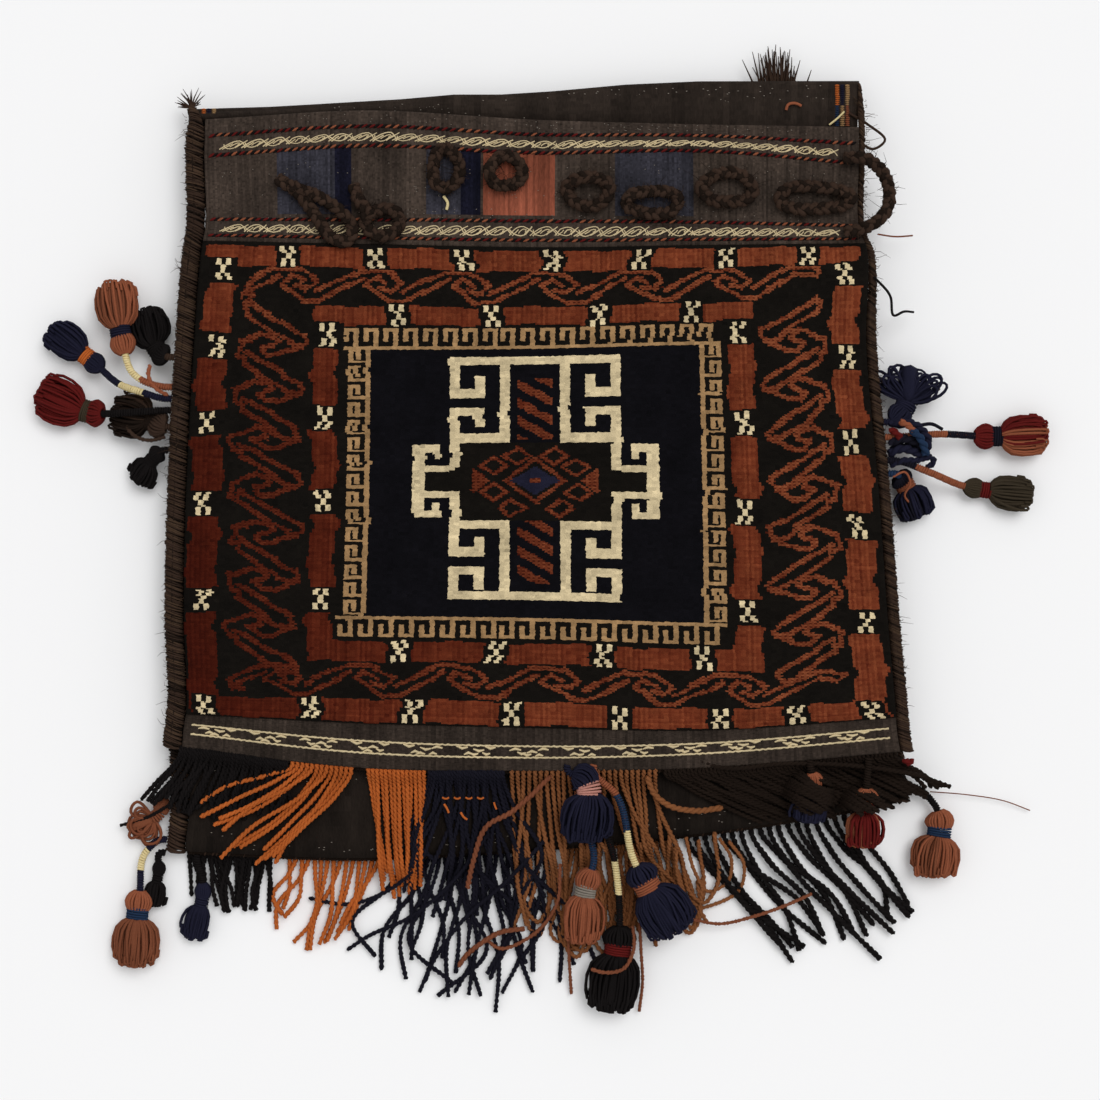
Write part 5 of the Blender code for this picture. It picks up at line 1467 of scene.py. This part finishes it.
class TiedTassel:
    """A skein of yarn tied at its neck, with its head bound over a wrapped stem."""

    FLAT = 0.55
    NECK = 7.0
    STRAYS = 4

    def __init__(self, tassel: Tassel) -> None:
        self.tassel = tassel
        self.route = Route(tassel.points, 0.8)
        self.skirt_top = self.route.length - tassel.skirt
        self.neck_top = self.skirt_top - self.NECK
        self.crown = self.neck_top - min(9.0, 0.32 * tassel.skirt)

    def build(self, rng: np.random.Generator) -> bpy.types.Object:
        """The whole tassel as one mesh."""
        skein = Skein(self.tassel.node.replace("tassel", "skein"), 0)
        self._stem(skein)
        self._head(skein, rng)
        self._wrap(skein, self.skirt_top, self.neck_top, 0.46 * self.tassel.radius, self.tassel.wrap)
        self._skirt(skein, rng)
        return finish_piece(skein.spun(), self.tassel.slot, self.tassel.node)

    def _wrap(self, skein: Skein, start: float, stop: float, reach: float, yarn: Yarn) -> None:
        """Turns of yarn laid side by side round the route."""
        low, high = sorted((start, stop))
        s = np.arange(low, high, 1.5 / 10)
        if len(s) < 4:
            return
        turn = s / 1.5 * 2 * math.pi
        flat = self.FLAT + (1 - self.FLAT) * max(0.0, 1 - reach / 4)
        skein.add(self.route.at(s, np.cos(turn) * reach, np.sin(turn) * reach * flat), 0.85, yarn)

    def _stem(self, skein: Skein) -> None:
        """The cord from the seat, bound with a run of each of its yarns."""
        s = np.arange(0, self.crown + 2, 1.5)
        skein.add(self.route.at(s), 1.5, self.tassel.stem[0])
        runs = len(self.tassel.stem)
        for i, yarn in enumerate(self.tassel.stem):
            self._wrap(skein, self.crown * i / runs, self.crown * (i + 1) / runs, 1.55, yarn)

    def _head(self, skein: Skein, rng: np.random.Generator) -> None:
        """Yarn bent over the stem's end and drawn in at the neck."""
        t = self.tassel
        s = np.linspace(self.crown - 1, self.neck_top + 1, 6)
        bulge = np.array([0.22, 0.42, 0.52, 0.56, 0.52, 0.44]) * t.radius
        skein.add(self.route.at(s), bulge * 0.62, t.head)
        for angle in np.linspace(0, 2 * math.pi, 22, endpoint=False):
            reach = bulge * rng.uniform(0.92, 1.05)
            skein.add(self.route.at(s, np.cos(angle) * reach, np.sin(angle) * reach * self.FLAT), 0.95, t.head)

    def _skirt(self, skein: Skein, rng: np.random.Generator) -> None:
        """The cut or looped ends below the neck."""
        t = self.tassel
        share = np.array([0, 0.1, 0.26, 0.55, 0.82, 1.0])
        widen = np.array([0.42, 0.7, 0.92, 1.0, 0.96, 0.84])
        s = self.skirt_top + share * t.skirt * 0.86
        skein.add(self.route.at(s), widen * t.radius * 0.5, t.yarn)
        if t.looped:
            self._petals(skein, rng)
            return
        for k in range(int(6.6 * t.radius)):
            angle = k * 2.39996
            ring = math.sqrt(rng.uniform(0.12, 1.0))
            long = rng.uniform(0.9, 1.03) - 0.16 * (ring * math.cos(angle)) ** 2
            s = self.skirt_top + share * long * t.skirt
            sway = rng.normal(0, 0.05, 2)
            if k < self.STRAYS:
                long, sway = long * 1.12, sway * 4
            dyed = t.mix if t.mix and rng.random() < 0.42 + 0.45 * math.cos(angle) else t.yarn
            aside = widen * ring * t.radius * (math.cos(angle) + sway[0] * share * 2)
            above = widen * ring * t.radius * (math.sin(angle) + sway[1] * share * 2) * self.FLAT
            points = self.route.at(np.minimum(s, self.route.length), aside, above)
            if k % 4:
                bend = aside[-1] + rng.choice([-1.0, 1.0]) * np.array([1.0, 2.1, 2.3])
                back = np.minimum(s[-1] + np.array([0.9, 0.1, -4.0]), self.route.length)
                points = np.concatenate([points, self.route.at(back, bend, np.full(3, above[-1]))])
            points[:, 2] = np.maximum(points[:, 2], 1.0)
            skein.add(points, 0.9, dyed)

    def _petals(self, skein: Skein, rng: np.random.Generator) -> None:
        """Long open loops that spread from the neck."""
        t = self.tassel
        share = np.linspace(0, 1, 15)
        for k in range(int(2.4 * t.radius)):
            spread = rng.uniform(-1.15, 1.15)
            long = t.skirt * rng.uniform(0.55, 1.05)
            wide = rng.uniform(2.2, 5.2)
            out, side = np.sin(share * math.pi) * long, np.sin(share * 2 * math.pi) * wide
            along = out * math.cos(spread) - side * math.sin(spread)
            aside = out * math.sin(spread) + side * math.cos(spread)
            above = rng.uniform(-0.7, 0.9) * t.radius * self.FLAT * np.sin(share * math.pi)
            s = np.clip(self.skirt_top + along, 0, self.route.length)
            points = self.route.at(s, aside, above)
            points[:, 2] = np.maximum(points[:, 2], 1.0)
            skein.add(points, 0.95, t.yarn)


class FoldTuft:
    """The frayed goat hair past the fold."""

    def build(self, rng: np.random.Generator) -> bpy.types.Object:
        """The tuft."""
        skein = Skein("fold_hairs", 0)
        for k in range(64):
            x = 146.5 + rng.normal(0, 6.0)
            lean = (x - 150) * 0.35 + rng.normal(0, 3)
            rise = rng.uniform(16, 31) - abs(x - 143) * 0.35
            z = rng.uniform(6.5, 9)
            points = [(x, 213, z), (x + lean * 0.3, 217 + rise * 0.4, z), (x + lean * 0.9, 217 + rise, z - 0.5)]
            skein.add(np.array(points), np.array([0.75, 0.55, 0.2]), Yarn.GOAT)
        return finish_piece(skein.spun(), "goat_hair_braid", "fold_tuft")


# Loose threads at the bag's edges: points in millimetres, radius, yarn.
THREADS = (
    (((188, 203, 19), (200, 196, 18), (210, 187, 16), (203, 182, 16), (194, 186, 18)), 0.8, Yarn.GOAT),
    (((205, 130, 20), (216, 129, 17), (228, 130, 15)), 0.5, Yarn.BROWN),
    (((202, 104, 24), (212, 92, 24), (214, 81, 22), (222, 84, 16), (228, 84, 12)), 0.8, Yarn.BLACK),
    (((239, -207, 6), (262, -209, 5), (285, -213, 4), (301, -219, 3)), 0.35, Yarn.BROWN),
    (((-222, -214, 12), (-236, -222, 9), (-255, -228, 6)), 1.2, Yarn.BLACK),
    (((221, -186, 22), (223, -188, 24), (225, -186, 22)), 2.2, Yarn.CHERRY),
    (((-56, 152, 25.4), (-53.5, 148, 25.6), (-54.5, 143, 25.4)), 0.9, Yarn.CREAM),
    (((-57, -209, 19), (-55, -210, 19.4), (-53, -209, 19)), 0.6, Yarn.ORANGE),
    (((-50, -209, 19), (-48, -210, 19.4), (-46, -209, 19)), 0.6, Yarn.ORANGE),
    (((-43, -209, 19), (-41, -210, 19.4), (-39, -209, 19)), 0.6, Yarn.ORANGE),
    (((-36, -209, 19), (-34, -210, 19.4), (-32, -209, 19)), 0.6, Yarn.ORANGE),
    (((-56, -213, 19), (-54, -216, 19.4), (-53, -219, 19)), 0.7, Yarn.ORANGE),
    (((-46, -218, 18.6), (-44, -221, 19), (-41, -223, 18.6)), 0.7, Yarn.ORANGE),
    (((-26, -212, 18.6), (-25, -215, 19), (-24, -217, 18.6)), 0.6, Yarn.ORANGE),
    (((8, -196, 22), (-4, -208, 21), (-16, -218, 20.5), (-30, -226, 20), (-38, -246, 18.5), (-42, -264, 16)), 1.7,
     Yarn.BROWN),
    (((-8, -290, 8), (-22, -292, 8.5), (-34, -299, 7), (-44, -308, 4), (-48, -314, 3)), 1.7, Yarn.BROWN),
    (((66, -290, 10), (88, -284, 9), (112, -287, 8), (130, -283, 8), (150, -276, 9), (168, -268, 9)), 1.2, Yarn.BROWN),
    (((66, -196, 23), (70, -206, 21), (78, -213, 20), (96, -217, 19.5), (112, -215, 19.5)), 1.9, Yarn.CAMEL),
    (((96, -186, 22), (108, -190, 23), (150, -188, 23.5), (196, -190, 23), (222, -194, 21), (236, -197, 19)), 1.6,
     Yarn.GOAT_DARK),
    (((20, -270, 12), (19, -296, 9), (20, -318, 5), (21, -332, 3)), 1.2, Yarn.BROWN),
    (((62, -286, 12), (63, -304, 12), (64, -322, 8), (62, -342, 4)), 1.2, Yarn.BROWN),
    (((58, -288, 12), (58, -302, 17), (52, -312, 20), (40, -314, 21), (32, -312, 20)), 1.3, Yarn.BROWN),
    (((14, -250, 14), (12, -274, 12), (-6, -296, 8), (-24, -302, 6), (-32, -296, 5)), 1.3, Yarn.BROWN),
    (((84, -236, 14), (86, -262, 9), (94, -278, 4), (108, -276, 3), (124, -266, 3), (126, -252, 5), (116, -236, 12)),
     1.3, Yarn.CAMEL),
    (((90, -234, 14), (96, -256, 8), (104, -268, 4), (116, -262, 4), (118, -248, 7), (110, -234, 12)), 1.3,
     Yarn.CAMEL),
    (((-60, -222, 19), (-72, -250, 13), (-92, -268, 5), (-116, -276, 3), (-140, -272, 3)), 1.4, Yarn.INK),
    (((-30, -232, 17), (-52, -262, 10), (-78, -284, 4), (-104, -296, 3), (-116, -304, 2.5)), 1.4, Yarn.INK),
    (((4, -236, 16), (-20, -262, 12), (-44, -284, 6), (-64, -312, 3), (-72, -330, 2.5)), 1.4, Yarn.INK),
    (((212, 12, 22), (216, 10, 24), (219, 6, 23)), 2.2, Yarn.CHERRY),
    (((218, 17, 24), (223, 14, 26), (227, 10, 25)), 2.1, Yarn.RUST),
    (((224, 12, 25), (228, 9, 26), (232, 3, 24), (234, -3, 21)), 2.5, Yarn.BLUE),
    (((212, 16, 20), (222, 17, 22), (231, 13, 20), (236, 5, 18), (233, -3, 17)), 2.5, Yarn.NAVY),
    (((212, 4, 20), (220, 7, 22), (228, 5, 20), (236, 0, 17)), 2.7, Yarn.INK),
    (((212, -2, 19), (220, 1, 21), (228, -1, 19), (237, -5, 16)), 2.7, Yarn.NAVY),
    (((213, -9, 19), (221, -6, 21), (229, -6, 19), (238, -4, 16), (240, -7, 15), (235, -10, 15)), 2.0, Yarn.NAVY),
    (((214, 1, 15), (224, 2, 16), (233, 0, 14)), 3.2, Yarn.INK),
    (((230, 15, 19), (238, 16, 17), (245, 13, 14)), 1.1, Yarn.INK),
    (((214, -16, 21), (221, -13, 21), (225, -20, 18), (222, -27, 15), (227, -33, 12)), 0.7, Yarn.RUST),
    (((229, 28, 14), (236, 33, 13), (244, 38, 11)), 1.0, Yarn.GOAT_PALE),
    (((-222, 33, 21), (-229, 37, 22), (-234, 46, 20), (-233, 52, 18)), 1.4, Yarn.RUST),
    (((-224, 8, 20), (-233, 6, 19), (-243, 9, 17), (-249, 16, 15)), 1.3, Yarn.GOAT),
    (((150, 205, 19), (151, 208, 19.6), (155, 209, 19.4), (160, 207, 19)), 0.9, Yarn.RUST),
    (((176, 196, 19), (181, 200, 19.4), (186, 205, 19.6)), 0.6, Yarn.CREAM),
)


class LooseThreads:
    """Odd ends of yarn along the edges."""

    CORD = 1.2

    def build(self, rng: np.random.Generator) -> bpy.types.Object:
        """All the loose ends, the thick ones as twisted cords."""
        skein = Skein("loose_threads", 1)
        for points, radius, yarn in THREADS:
            route = Route(points)
            if radius < self.CORD:
                skein.add(route.at(np.arange(0, route.length, 1.5)), radius, yarn)
            else:
                two_ply(skein, route, radius, yarn, rng)
        return finish_piece(skein.spun(), "black_yarn")


class Studio:
    """The pale surface, the soft light and the camera over it."""

    def build(self) -> None:
        """Everything that isn't the bag."""
        bm = bmesh.new()
        bmesh.ops.create_grid(bm, x_segments=1, y_segments=1, size=3.0)
        mesh = bpy.data.meshes.new("surface")
        bm.to_mesh(mesh)
        bm.free()
        paper = bpy.data.materials.new("surface")
        paper.use_nodes = True
        shader = paper.node_tree.nodes["Principled BSDF"]
        shader.inputs["Base Color"].default_value = (0.93, 0.93, 0.935, 1)
        shader.inputs["Roughness"].default_value = 0.9
        shader.inputs["Specular IOR Level"].default_value = 0.1
        floor = link_object("surface", mesh, [paper])
        lamp = bpy.data.lights.new("soft_sun", "SUN")
        lamp.energy = 1.35
        lamp.angle = math.radians(38)
        sun = bpy.data.objects.new("soft_sun", lamp)
        sun.rotation_euler = (math.radians(-22), math.radians(18), 0)
        bpy.context.scene.collection.objects.link(sun)
        lens = bpy.data.cameras.new("camera")
        lens.lens = 70.0
        lens.sensor_width = 36.0
        camera = bpy.data.objects.new("camera", lens)
        camera.location = (0.0078, -0.060, 1.307)
        bpy.context.scene.collection.objects.link(camera)
        bpy.context.scene.camera = camera
        self._world()
        bpy.context.scene.view_settings.view_transform = "Standard"

    def _world(self) -> None:
        """An even sky, paler where the camera sees it than where it lights."""
        world = bpy.data.worlds.new("sky")
        bpy.context.scene.world = world
        world.use_nodes = True
        nodes, link = world.node_tree.nodes, world.node_tree.links.new
        sky = nodes["Background"]
        rays = nodes.new("ShaderNodeLightPath")
        seen = nodes.new("ShaderNodeMath")
        seen.operation = "MAXIMUM"
        level = nodes.new("ShaderNodeMapRange")
        level.inputs["To Min"].default_value = 0.62
        level.inputs["To Max"].default_value = 0.95
        sky.inputs["Color"].default_value = (1, 1, 1, 1)
        link(rays.outputs["Is Camera Ray"], seen.inputs[0])
        link(rays.outputs["Is Transmission Ray"], seen.inputs[1])
        link(seen.outputs[0], level.inputs["Value"])
        link(level.outputs["Result"], sky.inputs["Strength"])


@dataclass
class SaddleBag:
    """The whole bag, built sub-assembly by sub-assembly."""

    seed: int = 7

    def build(self) -> None:
        """Every piece, in the frame."""
        rng = np.random.default_rng(self.seed)
        upper = UpperFaceCloth().build()
        on_upper = [UpperPile().build(rng), *FlatWeaves().build(rng), Brocade().build(rng)]
        cloth = SaddleCloth().build(rng)
        on_cloth = [ClothDetails().build(rng)]
        lower = LowerFace().build(rng)
        up, down = 20.2, 6.6
        for binding in (
            Binding("upper_left_binding", 0, False, up, FULL_RADII, ((-208.5, 207, 16.5), (-207, 203.5, 18.5)), True),
            Binding("upper_right_binding", COLUMNS, False, up, TIGHT_RADII, ((194.5, 221, 17.5), (195, 208, 18.5))),
            Binding("lower_left_binding", 0, True, down),
            Binding("lower_right_binding", COLUMNS, True, down, TIGHT_RADII),
        ):
            on_cloth.append(binding.build(rng))
        for i, points in enumerate(LOOPS):
            on_upper.append(BraidedLoop(i + 1, points).build(rng))
        on_lower = []
        for fan in FANS:
            piece = Fringe(fan).build(rng)
            (on_lower if fan.node.startswith("lower") else on_upper).append(piece)
        for tassel in TASSELS:
            on_cloth.append(TiedTassel(tassel).build(rng))
        on_cloth += [FoldTuft().build(rng), LooseThreads().build(rng)]
        on_cloth += [FootSeam("upper_foot_seam", False).build(rng), FootSeam("lower_foot_seam", True).build(rng)]


def main() -> None:
    """Builds the bag and its surroundings."""
    logging.basicConfig(level=logging.INFO, format="%(name)s %(message)s")
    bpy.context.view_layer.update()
    SaddleBag().build()
    Studio().build()


if __name__ == "__main__":
    main()
